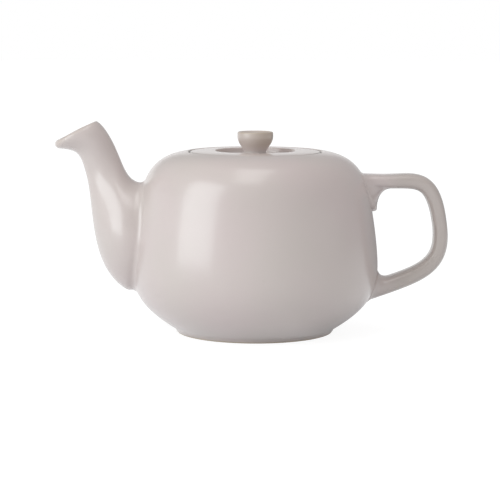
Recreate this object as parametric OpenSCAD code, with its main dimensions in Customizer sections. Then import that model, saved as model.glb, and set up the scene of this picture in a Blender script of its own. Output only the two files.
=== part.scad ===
// Stoneware teapot, in millimetres: a fired pot with its spout and strap handle, and a loose lid.
// The table is the plane z = 0. The spout points to -X and the handle to +X.

/* [Body] */
// Widest diameter of the body
body_d = 155; // [140:1:180]
// Height of the rim above the table
rim_h = 114; // [100:1:130]
// Height of the widest part
belly_h = 42; // [36:1:50]
// Thickness of the clay in the wall
wall = 4.5; // [3.5:0.1:5.5]
// Thickness of the clay in the floor
floor_t = 4.5; // [3.5:0.1:6]
// Inset of the shoulder from the widest part
shoulder_inset = 7; // [5:0.1:9]
// Drop from the rim to the shoulder
shoulder_drop = 22; // [18:0.5:27]
// Slope of the top beside the lid, in degrees
rim_tilt = 9; // [4:1:14]
// Slope where the shoulder turns down into the side, in degrees
shoulder_tilt = 73.6; // [65:0.1:80]

/* [Foot] */
// Diameter over the top of the foot
foot_d = 101.4; // [84:0.2:116]
// Height of the foot
foot_h = 2.8; // [2:0.1:4]
// Slope of the body where it meets the foot, in degrees
foot_tilt = 32; // [24:1:40]
// Inset of the standing ring from the top of the foot
foot_inset = 1.7; // [1.2:0.1:2.4]
// Width of the ring that stands on the table
foot_ring_w = 3.4; // [2.5:0.1:5]
// Depth of the hollow inside the ring
foot_hollow = 2.1; // [1:0.1:2.6]

/* [Mouth] */
// Diameter of the opening that holds the lid
mouth_d = 83.6; // [72:0.2:92]
// Depth of the seat below the rim
seat_drop = 4.6; // [4:0.1:6]
// Width of the ledge the lid rests on
seat_w = 3.6; // [3:0.1:5]
// Thickness of the ledge at its free edge
seat_t = 3.4; // [2.6:0.1:4]
// Rounding of the rim and of the lid's edge beside it
lip_r = 1.5; // [0.8:0.1:1.8]

/* [Lid] */
// Clearance around the lid
lid_gap = 0.6; // [0.3:0.05:0.9]
// Rise of the lid from its edge to the well
lid_rise = 0.6; // [0.3:0.1:1.2]
// Diameter of the sunken well
well_d = 50; // [44:0.5:56]
// Depth of the well
well_drop = 3.4; // [2.4:0.1:4.5]
// Thickness of the clay under the well
well_t = 4.5; // [3.5:0.1:5]
// Depth of the collar below the ledge
collar_drop = 8; // [6:0.5:12]
// Thickness of the collar at its foot
collar_t = 2.9; // [2.4:0.1:4]
// Clearance around the collar
collar_gap = 0.8; // [0.6:0.1:1.5]
// Diameter of the steam hole
vent_d = 3; // [2:0.1:4]

/* [Knob] */
// Diameter over the top of the knob
knob_d = 22.4; // [18:0.2:27]
// Height of the knob above the rim
knob_rise = 12.3; // [10:0.1:16]
// Diameter of the neck under the knob
knob_neck_d = 13.6; // [10:0.1:15]
// Depth of the dish in the top
knob_dish = 1.3; // [0.6:0.1:2]
// Rounding of the knob's edge
knob_round = 0.9; // [0.6:0.1:1.3]
// Height of the knob's rim above the start of its cup
knob_side = 3; // [2.4:0.1:4]
// Height of the neck's narrowest place above the well
knob_neck_h = 2.2; // [1.6:0.1:3]

/* [Spout] */
// Reach of the lower lip from the body's widest part
spout_reach = 48.4; // [40:0.1:58]
// Height of the lower lip's underside above the rim
spout_lip_rise = 1.5; // [0:0.1:6]
// Length of the mouth from its underside to its upper corner
spout_mouth_l = 29.3; // [26:0.1:35]
// Width over the mouth
spout_mouth_w = 24; // [20:0.1:28]
// Slope of the mouth from its underside to its upper corner, in degrees
spout_mouth_tilt = 35; // [27:0.1:41]
// Distance of the neck's middle from the body's widest part
spout_neck_out = 19.5; // [16:0.1:23]
// Drop from the rim to the neck's middle
spout_neck_drop = 6.5; // [4:0.1:9]
// Depth of the neck seen from the side
spout_neck_l = 25.1; // [21:0.1:28]
// Width of the neck
spout_neck_w = 20; // [17:0.1:24]
// Slope of the section at the neck, in degrees
spout_neck_tilt = 43.3; // [36:0.1:50]
// Height of the bottom of the root
spout_root_low = 26; // [22:0.1:31]
// Drop from the rim to the top of the root
spout_root_drop = 19.8; // [17:0.1:24]
// Width of the root
spout_root_w = 54; // [46:0.5:58]
// Thickness of the clay in the spout
spout_wall = 3.4; // [2.8:0.1:4.2]
// Rounding of the lower lip, half of its thickness
spout_lip_r = 2.8; // [2:0.1:3.2]

/* [Strainer] */
// Diameter of each hole
hole_d = 3.8; // [3:0.1:4.5]
// Spacing of the holes
hole_pitch = 6.4; // [5.6:0.1:8]
// Width of the pierced patch
patch_w = 21; // [14:0.5:22]
// Height of the pierced patch
patch_h = 36; // [24:0.5:40]

/* [Handle] */
// Reach of the handle from the body's widest part
handle_reach = 43.8; // [38:0.1:52]
// Drop from the rim to the middle of the strap at its top
handle_drop = 18.5; // [16:0.1:22]
// Height of the middle of the strap at its bottom
handle_low = 28.8; // [25:0.1:34]
// Thickness of the strap at the top
strap_t_high = 8.6; // [7:0.1:10]
// Extra thickness where the strap turns down
strap_t_turn = 0.9; // [0:0.1:1.5]
// Thickness of the strap at the grip
strap_t_grip = 9; // [7:0.1:11]
// Thickness of the strap at the bottom
strap_t_low = 10.3; // [8:0.1:12]
// Width of the strap at the grip
strap_w = 16.5; // [13:0.1:20]
// Width of the strap at its roots
strap_root_w = 21; // [17:0.1:25]

/* [Hidden] */
body_r = body_d / 2;
mouth_r = mouth_d / 2;
foot_r = foot_d / 2;

// Smoothness of the turned shapes, the holes and the two lofted pieces
turn_fn = 58;
lid_fn = 40;
hole_fn = 14;
spout_fn = 32;
bore_fn = 24;
strap_fn = 20;
curve_steps = 9;
inner_steps = 5;

// Short vector helpers
function mix(a, b, t) = a + (b - a) * t;
function polar(a) = [cos(a), sin(a)];
function unit(v) = v / norm(v);
function arc(c, r, angles) = [for (a = angles) c + r * polar(a)];
function bezier(c, t) = pow(1 - t, 3) * c[0] + 3 * pow(1 - t, 2) * t * c[1]
    + 3 * (1 - t) * t * t * c[2] + pow(t, 3) * c[3];
function bezier_dir(c, t) = unit(pow(1 - t, 2) * (c[1] - c[0])
    + 2 * (1 - t) * t * (c[2] - c[1]) + t * t * (c[3] - c[2]));

// A curve that leaves a at angle aa and reaches b at angle ab, with pulls as shares of the straight way
function curve(a, aa, b, ab, pull) =
    let (l = norm(b - a)) [a, a + l * pull[0] * polar(aa), b - l * pull[1] * polar(ab), b];

// Outside of the turned body as three curves in radius and height
shoulder = [body_r - shoulder_inset, rim_h - shoulder_drop];
rim = [mouth_r + lip_r, rim_h];
belly = [body_r, belly_h];
foot = [foot_r, foot_h];
top_pull = [0.196, 0.572];
side_pull = [0.198, 0.274];
low_pull = [0.347, 0.525];
top_curve = curve(rim, -rim_tilt, shoulder, -shoulder_tilt, top_pull);
side_curve = curve(shoulder, -shoulder_tilt, belly, -90, side_pull);
low_curve = curve(belly, -90, foot, 180 + foot_tilt, low_pull);

function inside(c, t) = bezier(c, t) + wall * [bezier_dir(c, t)[1], -bezier_dir(c, t)[0]];

body_line = [
    for (i = [0 : curve_steps - 1]) bezier(top_curve, i / curve_steps),
    for (i = [0 : curve_steps - 3]) bezier(side_curve, i / (curve_steps - 2)),
    for (i = [0 : curve_steps]) bezier(low_curve, i / curve_steps)
];
body_radius = [for (i = [len(body_line) - 1 : -1 : 0]) [body_line[i][1], body_line[i][0]]];

// Distance from the outside of the body, negative within the clay
function surface_r(z) = lookup(z, body_radius);
function gap(p) = norm([p[0], p[1]]) - surface_r(p[2]);
function settle(p, g) =
    let (k = (surface_r(p[2]) + g) / norm([p[0], p[1]])) [p[0] * k, p[1] * k, p[2]];

// Heights and radii inside the mouth and the foot
seat_z = rim_h - seat_drop;
throat_r = mouth_r - seat_w;
ledge_z = seat_z - seat_t;
floor_z = foot_hollow + floor_t;
ring_r = foot_r - foot_inset;
chamfer = 0.5;
foot_draft = 0.7;
seat_round = 1;
floor_round = 4.5;
top_marks = [1, 0.82, 0.64, 0.48, 0.34];
side_marks = [0.75, 0.5, 0.25];

module turned(points, fn = turn_fn) {
    rotate_extrude($fn = fn)
        polygon(points);
}

// Body in section: rim, outside, foot and recessed base, then floor, inside and seat
module body() {
    lip = arc([mouth_r + lip_r, rim_h - lip_r], lip_r, [180, 135]);
    under = [
        [foot_r - 0.35 * foot_inset, 0.8 * foot_h],
        [ring_r + 0.3, chamfer],
        [ring_r - 0.3, 0],
        [ring_r - foot_ring_w, 0],
        [ring_r - foot_ring_w - chamfer, chamfer],
        [ring_r - foot_ring_w - chamfer - foot_draft, foot_hollow],
        [0, foot_hollow],
    ];
    inner_low = [for (i = [inner_steps : -1 : 0]) inside(low_curve, i / inner_steps)];
    inner_side = [for (t = side_marks) inside(side_curve, t)];
    inner_top = [for (t = top_marks) inside(top_curve, t)];
    bottom = [[0, floor_z], [inner_low[0][0] - floor_round, floor_z]];
    seat = [
        [throat_r + seat_round, ledge_z],
        [throat_r, ledge_z + seat_round],
        [throat_r, seat_z],
        [mouth_r, seat_z],
    ];
    turned(concat(lip, body_line, under, bottom, inner_low, inner_side, inner_top, seat));
}

// Rings of points joined into one closed solid, with a middle point at each end
module skin(rings, start, end) {
    n = len(rings[0]);
    m = len(rings);
    points = concat([start], [for (r = rings) each r], [end]);
    sides = [
        for (j = [0 : m - 2])
            for (i = [0 : n - 1])
                let (a = 1 + j * n + i, b = 1 + j * n + (i + 1) % n)
                    each [[a, b, b + n], [a, b + n, a + n]]
    ];
    first = [for (i = [0 : n - 1]) [0, 1 + (i + 1) % n, 1 + i]];
    last = [for (i = [0 : n - 1]) [1 + m * n, 1 + (m - 1) * n + i, 1 + (m - 1) * n + (i + 1) % n]];
    polyhedron(points, concat(first, sides, last));
}

// Angle of point i of n around a section, so that no point lies in the middle plane
function turn(i, n) = 360 * (i + 0.5) / n;

// A rail is a lengthwise line of a spout or a strap: find where it comes to distance g from the body
function reach(rail, a, g, lo, hi, n = 14) =
    let (t = (lo + hi) / 2)
        n == 0 ? t
            : gap(rail(t, a)) > g ? reach(rail, a, g, lo, t, n - 1)
            : reach(rail, a, g, t, hi, n - 1);

// A root fillet has three rows: its reach, its spread and the stand of its blunt edge off the body.
// Each row is given above, beside and below the section, for a strap on its outer face, at its edges
// and on its inner face, and blends between them.
function around(row, a) =
    row[0] * pow(max(0, cos(a)), 2) + row[1] * pow(sin(a), 2) + row[2] * pow(max(0, -cos(a)), 2);
round_end = 0.97;
edge_spread = 0.6;
root_sink = 0.45 * wall;
function flare(fillet, a, u) = around(fillet[1], a) * (1 - sqrt(1 - pow(u * round_end, 2)));

// One ring of a root, from u = 0 at the start of the fillet to u = 1 at its blunt edge
function root_ring(rail, out, fillet, u, t_first, n) = [
    for (i = [0 : n - 1])
        let (a = turn(i, n), g = mix(around(fillet[0], a), around(fillet[2], a), u))
            let (t = reach(rail, a, g, -1, t_first))
                settle(rail(t, a) + out(t, a) * flare(fillet, a, u), g)
];

// The slope of the blunt edge carried on into the clay
function root_end(rail, out, fillet, t_first, n) = [
    for (i = [0 : n - 1])
        let (a = turn(i, n), t = reach(rail, a, -root_sink, -1, t_first))
            let (spread = edge_spread * (around(fillet[2], a) + root_sink))
                settle(rail(t, a) + out(t, a) * (flare(fillet, a, 1) + spread), -root_sink)
];
function shrink(ring, mid, k, g) = [for (p = ring) settle(mid + (p - mid) * k, g)];

// Spout: its lower and upper lines, each of two curves that meet at the neck
root_z = [spout_root_low, rim_h - spout_root_drop];
root_stand = [5.8, 3.4];
lip_low = [-body_r - spout_reach + spout_lip_r, rim_h + spout_lip_rise];
lip_high = lip_low + spout_mouth_l * polar(spout_mouth_tilt);
root_low = [-surface_r(root_z[0]) - root_stand[0], root_z[0]];
root_high = [-surface_r(root_z[1]) - root_stand[1], root_z[1]];
neck_mid = [-body_r - spout_neck_out, rim_h - spout_neck_drop];
neck_low = neck_mid - spout_neck_l / 2 * polar(spout_neck_tilt);
neck_high = neck_mid + spout_neck_l / 2 * polar(spout_neck_tilt);

// Their directions at the root, the neck and the lip in degrees, and the pulls of each curve
under_dirs = [150, 104.7, 174.3];
under_pulls = [[0.372, 0.273], [0.635, 0.5]];
upper_dirs = [167.5, 114.2, 150];
upper_pulls = [[0.311, 0.463], [0.25, 0.27]];
under_line = [
    curve(root_low, under_dirs[0], neck_low, under_dirs[1], under_pulls[0]),
    curve(neck_low, under_dirs[1], lip_low, under_dirs[2], under_pulls[1])
];
upper_line = [
    curve(root_high, upper_dirs[0], neck_high, upper_dirs[1], upper_pulls[0]),
    curve(neck_high, upper_dirs[1], lip_high, upper_dirs[2], upper_pulls[1])
];
neck_t = 0.62;
swell = 0.93;
function along(lines, t) = t < neck_t ? bezier(lines[0], t / neck_t)
    : bezier(lines[1], min(1, (t - neck_t) / (1 - neck_t)));
function ease(t) = t * t * (3 - 2 * t);
function spout_half_w(t) = t < neck_t
    ? mix(spout_root_w, spout_neck_w, ease(pow(max(0, t) / neck_t, swell))) / 2
    : mix(spout_neck_w, spout_mouth_w, ease(min(1, (t - neck_t) / (1 - neck_t)))) / 2;

// A point of the spout's section at t and angle a, with 0 at the top
function spout_at(t, a) =
    let (low = along(under_line, max(0, t)), high = along(upper_line, max(0, t)))
    let (mid = (low + high) / 2, axis = unit(high - low), up = norm(high - low) / 2 * cos(a))
    let (slide = t < 0 ? -t * body_r : 0, side = -spout_half_w(t) * sin(a))
        [mid[0] + axis[0] * up + slide, side, mid[1] + axis[1] * up];

// Directions there: around the section, square out of the clay, and on towards the mouth
step_t = 0.004;
step_a = 2;
function spout_dirs(t, a) =
    let (across = unit(spout_at(t, a + step_a) - spout_at(t, a - step_a)))
    let (up = spout_at(min(1, t + step_t), a), out = unit(cross(up - spout_at(t - step_t, a), across)))
        [across, out, cross(across, out)];
function spout_inside(t, a) = spout_at(t, a) - spout_wall * spout_dirs(t, a)[1];

// A point of the lip, rounded from p = 0 on the outside over 90 on the edge to 180 inside, with rows
// above, beside and below for half its thickness and for how far it stands out
lip_thick = spout_lip_r * [0.55, 0.75, 1];
lip_stand = spout_lip_r * [0.55, 1.1, 1];
function spout_lip(a, p) =
    let (d = spout_dirs(1, a), thick = around(lip_thick, a), stand = around(lip_stand, a))
        spout_at(1, a) + (cos(p) - 1) * thick * d[1] + sin(p) * stand * d[2];
function spout_out(t, a) =
    let (low = along(under_line, max(0, t)), high = along(upper_line, max(0, t)))
    let (axis = unit(high - low), v = [cos(a) / norm(high - low), -sin(a) / (2 * spout_half_w(t))])
        unit([axis[0] * v[0], v[1], axis[1] * v[0]]);

spout_fillet = [[2.6, 2.6, 3], [2.2, 2.4, 2.6], [0.4, 0.3, 0.4]];
spout_first_t = 0.07;
mouth_out = [-sin(spout_mouth_tilt), 0, cos(spout_mouth_tilt)];
mouth_mid = (spout_lip(0, 90) + spout_lip(180, 90)) / 2;
root_mid_z = mix(root_z[0], root_z[1], 0.5);
function spout_ring(t) = [for (i = [0 : spout_fn - 1]) spout_at(t, turn(i, spout_fn))];
function bore_ring(t) = [for (i = [0 : bore_fn - 1]) spout_inside(t, turn(i, bore_fn))];
function lip_ring(p, n) = [for (i = [0 : n - 1]) spout_lip(turn(i, n), p)];

// Outside of the spout: buried root, fillet, belly and neck, and the rounded edge of the mouth
module spout_solid() {
    rail = function(t, a) spout_at(t, a);
    out = function(t, a) spout_out(t, a);
    mid = settle([-body_r, 0, root_mid_z], -root_sink);
    end = root_end(rail, out, spout_fillet, spout_first_t, spout_fn);
    fillet = [
        for (u = [1, 0.85, 0.6, 0.3, 0])
            root_ring(rail, out, spout_fillet, u, spout_first_t, spout_fn)
    ];
    lower = [for (i = [0 : 9]) spout_ring(mix(spout_first_t, neck_t, i / 9))];
    upper = [for (i = [1 : 5]) spout_ring(mix(neck_t, 1, i / 5))];
    brim = [for (p = [30, 60, 90]) lip_ring(p, spout_fn)];
    buried = [shrink(end, mid, 0.5, -root_sink), end];
    skin(concat(buried, fillet, lower, upper, brim), mid, mouth_mid);
}

// Inside of the spout, from just within the body's wall to beyond the mouth
bore_start_t = 0.05;
bore_end_t = 0.93;
cut_in = 0.3;
cut_past = 4;
module spout_bore() {
    rail = function(t, a) spout_inside(t, a);
    mid = settle([-body_r, 0, root_mid_z], -cut_in);
    end = [
        for (i = [0 : bore_fn - 1])
            let (a = turn(i, bore_fn))
                settle(rail(reach(rail, a, -cut_in, -1, bore_start_t), a), -cut_in)
    ];
    lower = [for (i = [0 : 8]) bore_ring(neck_t * i / 8)];
    upper = [for (i = [1 : 4]) bore_ring(mix(neck_t, bore_end_t, i / 4))];
    brim = [for (p = [180, 145, 110]) lip_ring(p, bore_fn)];
    beyond = [for (p = brim[2]) p + mouth_out * cut_past];
    skin(concat([shrink(end, mid, 0.5, -cut_in), end], lower, upper, brim, [beyond]),
        mid, mouth_mid + mouth_out * cut_past);
}

// Strainer: staggered holes through the body's wall behind the spout
patch_mid = 0.44;
hole_before = 3;
hole_past = 8;
module strainer() {
    mid_z = mix(root_z[0], root_z[1], patch_mid);
    row_h = hole_pitch * sin(60);
    rows = floor(patch_h / 2 / row_h);
    cols = ceil(patch_w / 2 / hole_pitch);
    for (j = [-rows : rows])
        for (i = [-cols : cols]) {
            y = (i + (j % 2 == 0 ? 0 : 0.5)) * hole_pitch;
            z = j * row_h;
            if (pow(2 * y / patch_w, 2) + pow(2 * z / patch_h, 2) <= 1)
                translate([-body_r - hole_before, y, mid_z + z])
                    rotate([0, 90, 0])
                        cylinder(d = hole_d, h = hole_before + wall + hole_past, $fn = hole_fn);
        }
}

// Handle: the middle line of the strap as two curves that meet at the grip
strap_stand = [10.8, 5.4];
strap_high = [surface_r(rim_h - handle_drop) + strap_stand[0], rim_h - handle_drop];
strap_low = [surface_r(handle_low) + strap_stand[1], handle_low];
strap_dirs = [-1.6, -81.8, 198.9];
strap_pulls = [[0.455, 0.73], [0.488, 0.523]];
grip_share = 0.6;
grip_bow = 0.5;
grip_r = body_r + handle_reach - strap_t_grip / 2 - grip_bow;
grip = [grip_r, mix(strap_low[1], strap_high[1], grip_share)];
strap_line = [
    curve(strap_high, strap_dirs[0], grip, strap_dirs[1], strap_pulls[0]),
    curve(grip, strap_dirs[1], strap_low, strap_dirs[2], strap_pulls[1])
];
function strap_mid(t) = t < 0.5 ? bezier(strap_line[0], 2 * t) : bezier(strap_line[1], 2 * t - 1);
function strap_dir(t) = t < 0.5
    ? bezier_dir(strap_line[0], 2 * t) : bezier_dir(strap_line[1], 2 * t - 1);
function strap_t(t) = t < 0.5
    ? mix(strap_t_high, strap_t_grip, 2 * t) + strap_t_turn * sin(360 * t)
    : mix(strap_t_grip, strap_t_low, 2 * t - 1);
strap_taper = 3;
function strap_half_w(t) = mix(strap_w, strap_root_w, pow(abs(2 * t - 1), strap_taper)) / 2;

// A point of the strap's section at t and angle a, with 0 on its outer face
squareness = 0.68;
function bulge(v) = sign(v) * pow(abs(v), squareness);
function strap_at(t, a) =
    let (s = min(1, max(0, t)), dir = strap_dir(s), face = [-dir[1], dir[0]], past = t - s)
    let (mid = strap_mid(s) + dir * past * body_r + face * strap_t(s) / 2 * bulge(cos(a)))
        [mid[0], strap_half_w(s) * bulge(sin(a)), mid[1]];
function strap_out(t, a) =
    let (s = min(1, max(0, t)), dir = strap_dir(s))
    let (v = [cos(a) / strap_t(s), sin(a) / (2 * strap_half_w(s))])
        unit([-dir[1] * v[0], v[1], dir[0] * v[0]]);
function strap_ring(t) = [for (i = [0 : strap_fn - 1]) strap_at(t, turn(i, strap_fn))];

high_fillet = [[1, 5, 15.3], [0.3, 4, 17.4], [0.4, 0.5, 3.2]];
low_fillet = [[1, 5, 8.4], [0.3, 4, 7.2], [0.4, 0.5, 0.7]];
high_first_t = 0.12;
low_first_t = 0.1;
high_mid_drop = 5;

// Strap with both of its roots, from the upper one round to the lower one
module handle_solid() {
    high_rail = function(t, a) strap_at(t, a);
    high_out = function(t, a) strap_out(t, a);
    low_rail = function(t, a) strap_at(1 - t, a);
    low_out = function(t, a) strap_out(1 - t, a);
    high_end = root_end(high_rail, high_out, high_fillet, high_first_t, strap_fn);
    high_root = [
        for (u = [1, 0.9, 0.7, 0.4, 0])
            root_ring(high_rail, high_out, high_fillet, u, high_first_t, strap_fn)
    ];
    strap = [for (k = [0 : 17]) strap_ring(mix(high_first_t, 1 - low_first_t, k / 17))];
    low_root = [
        for (u = [0, 0.4, 0.75, 1])
            root_ring(low_rail, low_out, low_fillet, u, low_first_t, strap_fn)
    ];
    low_end = root_end(low_rail, low_out, low_fillet, low_first_t, strap_fn);
    start = settle([body_r, 0, strap_high[1] - high_mid_drop], -root_sink);
    end = settle([body_r, 0, strap_low[1]], -root_sink);
    skin(concat([high_end], high_root, strap, low_root, [low_end]), start, end);
}

module pot() {
    color("#b9b0ac")
        difference() {
            union() {
                body();
                spout_solid();
                handle_solid();
            }
            spout_bore();
            strainer();
        }
}

// Lid in section: dished knob, neck, sunken well, ring, edge, collar and hollow underside
lid_r = mouth_r - lid_gap;
collar_r = throat_r - collar_gap;
well_r = well_d / 2;
lid_z = rim_h + lid_rise;
well_z = lid_z - well_drop;
under_z = well_z - well_t;
collar_z = seat_z - collar_drop;
knob_z = rim_h + knob_rise;
knob_r = knob_d / 2;
neck_r = knob_neck_d / 2;
neck_z = well_z + knob_neck_h;
neck_spread = 1.8;
well_round = 1.2;
ring_round = 0.8;
ring_fall = 0.2;
collar_round = 1;
collar_taper = 0.6;
hollow_slope = 2;

module lid_turned() {
    dish = [[0, knob_z - knob_dish], [0.5 * knob_r, knob_z - 0.8 * knob_dish]];
    rim_round = arc([knob_r - knob_round, knob_z - knob_round], knob_round, [135, 90, 45, 0]);
    cup = curve([knob_r, knob_z - knob_side], -90, [neck_r, neck_z], -90, [0.42, 0.2]);
    stem = curve([neck_r, neck_z], -90, [neck_r + neck_spread, well_z], 0, [0.4, 0.4]);
    well = arc([well_r - well_round, well_z + well_round], well_round, [-90, -45, 0]);
    ring = arc([well_r + ring_round, lid_z - ring_round], ring_round, [180, 135, 90]);
    crown = [[mix(well_r, lid_r, 0.55), lid_z - ring_fall * lid_rise]];
    edge = arc([lid_r - lip_r, rim_h - lip_r], lip_r, [80, 45, 0]);
    seat = [[lid_r, seat_z], [collar_r, seat_z]];
    collar_out = arc([collar_r - collar_round, collar_z + collar_round], collar_round, [0, -45, -90]);
    collar_in = arc([collar_r - collar_t, collar_z + collar_round], collar_round, [-90, -180]);
    hollow_r = collar_r - collar_t - collar_round - collar_taper;
    hollow = [
        [hollow_r, seat_z - collar_round],
        [hollow_r - hollow_slope, under_z + collar_round],
        [well_r - hollow_slope, under_z],
        [0, under_z],
    ];
    turned(concat(dish, rim_round, [for (i = [0 : 6]) bezier(cup, i / 6)],
        [for (i = [1 : 4]) bezier(stem, i / 4)], well, ring, crown, edge, seat,
        collar_out, collar_in, hollow), lid_fn);
}

// Steam hole through the well, on the side of the handle
vent_share = 0.42;
module lid() {
    color("#b9b0ac")
        difference() {
            lid_turned();
            translate([mix(knob_r, well_r, vent_share), 0, under_z - 1])
                cylinder(d = vent_d, h = well_t + 2, $fn = hole_fn);
        }
}

pot();
lid();
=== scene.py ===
"""A glazed stoneware teapot: the pot with its spout and strap handle, and a loose lid.

Shapes are worked out in millimetres and scaled to metres where a mesh is made. The table is z = 0,
the spout points to -X and the handle to +X.
"""

import logging
import math
from collections.abc import Callable, Collection, Sequence
from dataclasses import dataclass, field
from itertools import pairwise
from typing import Any

import bmesh
import bpy
import numpy as np
from mathutils import Matrix, Vector
from mathutils.geometry import delaunay_2d_cdt


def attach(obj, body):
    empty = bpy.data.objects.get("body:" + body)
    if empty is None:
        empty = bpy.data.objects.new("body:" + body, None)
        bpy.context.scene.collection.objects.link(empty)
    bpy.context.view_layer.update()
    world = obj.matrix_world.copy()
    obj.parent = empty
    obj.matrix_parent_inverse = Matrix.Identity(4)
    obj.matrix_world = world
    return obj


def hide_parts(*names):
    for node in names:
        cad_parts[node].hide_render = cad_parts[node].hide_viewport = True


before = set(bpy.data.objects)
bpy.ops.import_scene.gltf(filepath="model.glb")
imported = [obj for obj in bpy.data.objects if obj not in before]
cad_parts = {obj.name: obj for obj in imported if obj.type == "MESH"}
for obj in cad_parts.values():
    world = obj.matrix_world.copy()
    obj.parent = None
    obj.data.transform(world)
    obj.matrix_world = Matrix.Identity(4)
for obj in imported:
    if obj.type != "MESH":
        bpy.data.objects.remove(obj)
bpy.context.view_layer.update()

logging.basicConfig(level=logging.INFO, format="%(name)s: %(message)s")
log = logging.getLogger("teapot")

Array = np.ndarray
Pair = tuple[float, float]
Pulls = tuple[Pair, Pair]
Triple = tuple[float, float, float]
Color = tuple[float, float, float, float]
Rail = Callable[[Any, Array], Array]

MM = 0.001
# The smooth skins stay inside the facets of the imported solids.
SHRINK = 0.9991
# A section ends this far from the axis, so that its last points still stand apart.
NEAR_AXIS = 0.001
# The rounding of a corner takes no more than this share of either side.
SIDE_SHARE = 0.48
# Rows of staggered holes stand this share of their pitch apart.
ROW_SHARE = math.sin(math.radians(60))
# The skin is shaded sharp where it bends by more than this, in degrees.
SHARP_ANGLE = 50
# Sign, start and span of the bend per metre that the glaze reads as an edge or a hollow.
MARKS = {"edge": (1, 110, 300), "hollow": (-1, 25, 150)}
# How often the marks are evened out with their neighbours.
MARK_PASSES = 3
# The least that a value is divided by, and the least length of an edge in metres.
TINY, SHORTEST = 1e-9, 1e-5
# Points closer than these are one: in a flat patch in millimetres, and in a turned mesh in metres.
SAME_SPOT, SAME_POINT = 1e-7, 1e-6
# Holes whose middle lies on the strainer's outline stay.
JUST_OVER_ONE = 1.0001


# Curves and sections


def polar(degrees: float) -> Array:
    """Unit vector at an angle from the first axis."""
    return np.array([math.cos(math.radians(degrees)), math.sin(math.radians(degrees))])


def mix(a: Any, b: Any, t: Any) -> Any:
    """Value between a and b at share t."""
    return a + (b - a) * t


def ease(t: Array) -> Array:
    """Smooth step of values between 0 and 1."""
    return t * t * (3 - 2 * t)


def length(vector: Array) -> float:
    """Length of one vector."""
    return float(np.linalg.norm(vector))


def unit(vectors: Array) -> Array:
    """The vectors, each brought to length one."""
    return vectors / np.linalg.norm(vectors, axis=-1, keepdims=True)


def shares(t: Any, a: Array) -> Array:
    """The shares t, one for each of the angles a."""
    return np.broadcast_to(np.asarray(t, float), a.shape)


def round_angles(count: int) -> Array:
    """Angles around a section in radians, the first half a step past the top."""
    return np.radians(360 * (np.arange(count) + 0.5) / count)


@dataclass(frozen=True)
class Bend:
    """A cubic curve in a plane, given by its ends, the directions there and how far each pulls.

    The pulls are shares of the straight way between the ends.
    """

    start: Array
    start_angle: float
    end: Array
    end_angle: float
    pull: Pair

    def controls(self) -> tuple[Array, Array, Array, Array]:
        """Works out the control points.

        Returns:
            The start, the two points that pull, and the end.
        """
        way = length(self.end - self.start)
        first = self.start + way * self.pull[0] * polar(self.start_angle)
        last = self.end - way * self.pull[1] * polar(self.end_angle)
        return self.start, first, last, self.end

    def at(self, t: Any) -> Array:
        """Points of the curve.

        Args:
            t: One share of the curve or an array of shares.

        Returns:
            An array with the two coordinates last.
        """
        t = np.asarray(t, float)[..., None]
        a, b, c, d = self.controls()
        return (1 - t) ** 3 * a + 3 * (1 - t) ** 2 * t * b + 3 * (1 - t) * t**2 * c + t**3 * d

    def direction(self, t: Any) -> Array:
        """Unit directions along the curve.

        Args:
            t: One share of the curve or an array of shares.

        Returns:
            An array with the two coordinates last.
        """
        t = np.asarray(t, float)[..., None]
        a, b, c, d = self.controls()
        return unit((1 - t) ** 2 * (b - a) + 2 * (1 - t) * t * (c - b) + t**2 * (d - c))

    def beside(self, t: Any, distance: float) -> Array:
        """Points at the shares t, moved square to the curve towards its right."""
        d = self.direction(t)
        return self.at(t) + distance * np.stack([d[..., 1], -d[..., 0]], -1)


def two_bends(points: Sequence[Array], angles: Triple, pulls: Pulls) -> tuple[Bend, Bend]:
    """Two curves that meet smoothly.

    Args:
        points: The start, the meeting point and the end.
        angles: The direction at each of them, in degrees.
        pulls: The pulls of the two curves.

    Returns:
        The curves.
    """
    a, b, c = points
    first = Bend(a, angles[0], b, angles[1], pulls[0])
    return first, Bend(b, angles[1], c, angles[2], pulls[1])


def rounded(corners: Sequence[Sequence[float]], radii: Sequence[float], steps: int = 5) -> Array:
    """A line through corners, each inner one rounded.

    Args:
        corners: The corners in radius and height.
        radii: How far from each inner corner the rounding starts.
        steps: Points in each rounding.

    Returns:
        The points of the rounded line.
    """
    points = [np.array(c, float) for c in corners]
    out = [points[0]]
    sides = zip(points[:-2], points[1:-1], points[2:], radii, strict=True)
    for before, corner, after, radius in sides:
        back, on = before - corner, after - corner
        reach = min(radius, SIDE_SHARE * length(back), SIDE_SHARE * length(on))
        a = corner + back / length(back) * reach
        b = corner + on / length(on) * reach
        for t in np.linspace(0, 1, steps):
            out.append((1 - t) ** 2 * a + 2 * (1 - t) * t * corner + t**2 * b)
    return np.array([*out, points[-1]])


def filled(line: Array, spacing: float) -> Array:
    """The same line with more points.

    Args:
        line: The points of the line.
        spacing: The most that two points may then stand apart.

    Returns:
        The points of the filled line.
    """
    out = [line[0]]
    for a, b in pairwise(line):
        count = max(1, math.ceil(length(b - a) / spacing))
        out += [mix(a, b, (i + 1) / count) for i in range(count)]
    return np.array(out)


def arc(center: Sequence[float], radius: float, first: float, last: float, steps: int) -> Array:
    """Points of an arc about a centre, from one angle to another, in degrees."""
    middle = np.array(center, float)
    return np.array([middle + radius * polar(a) for a in np.linspace(first, last, steps)])


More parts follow.
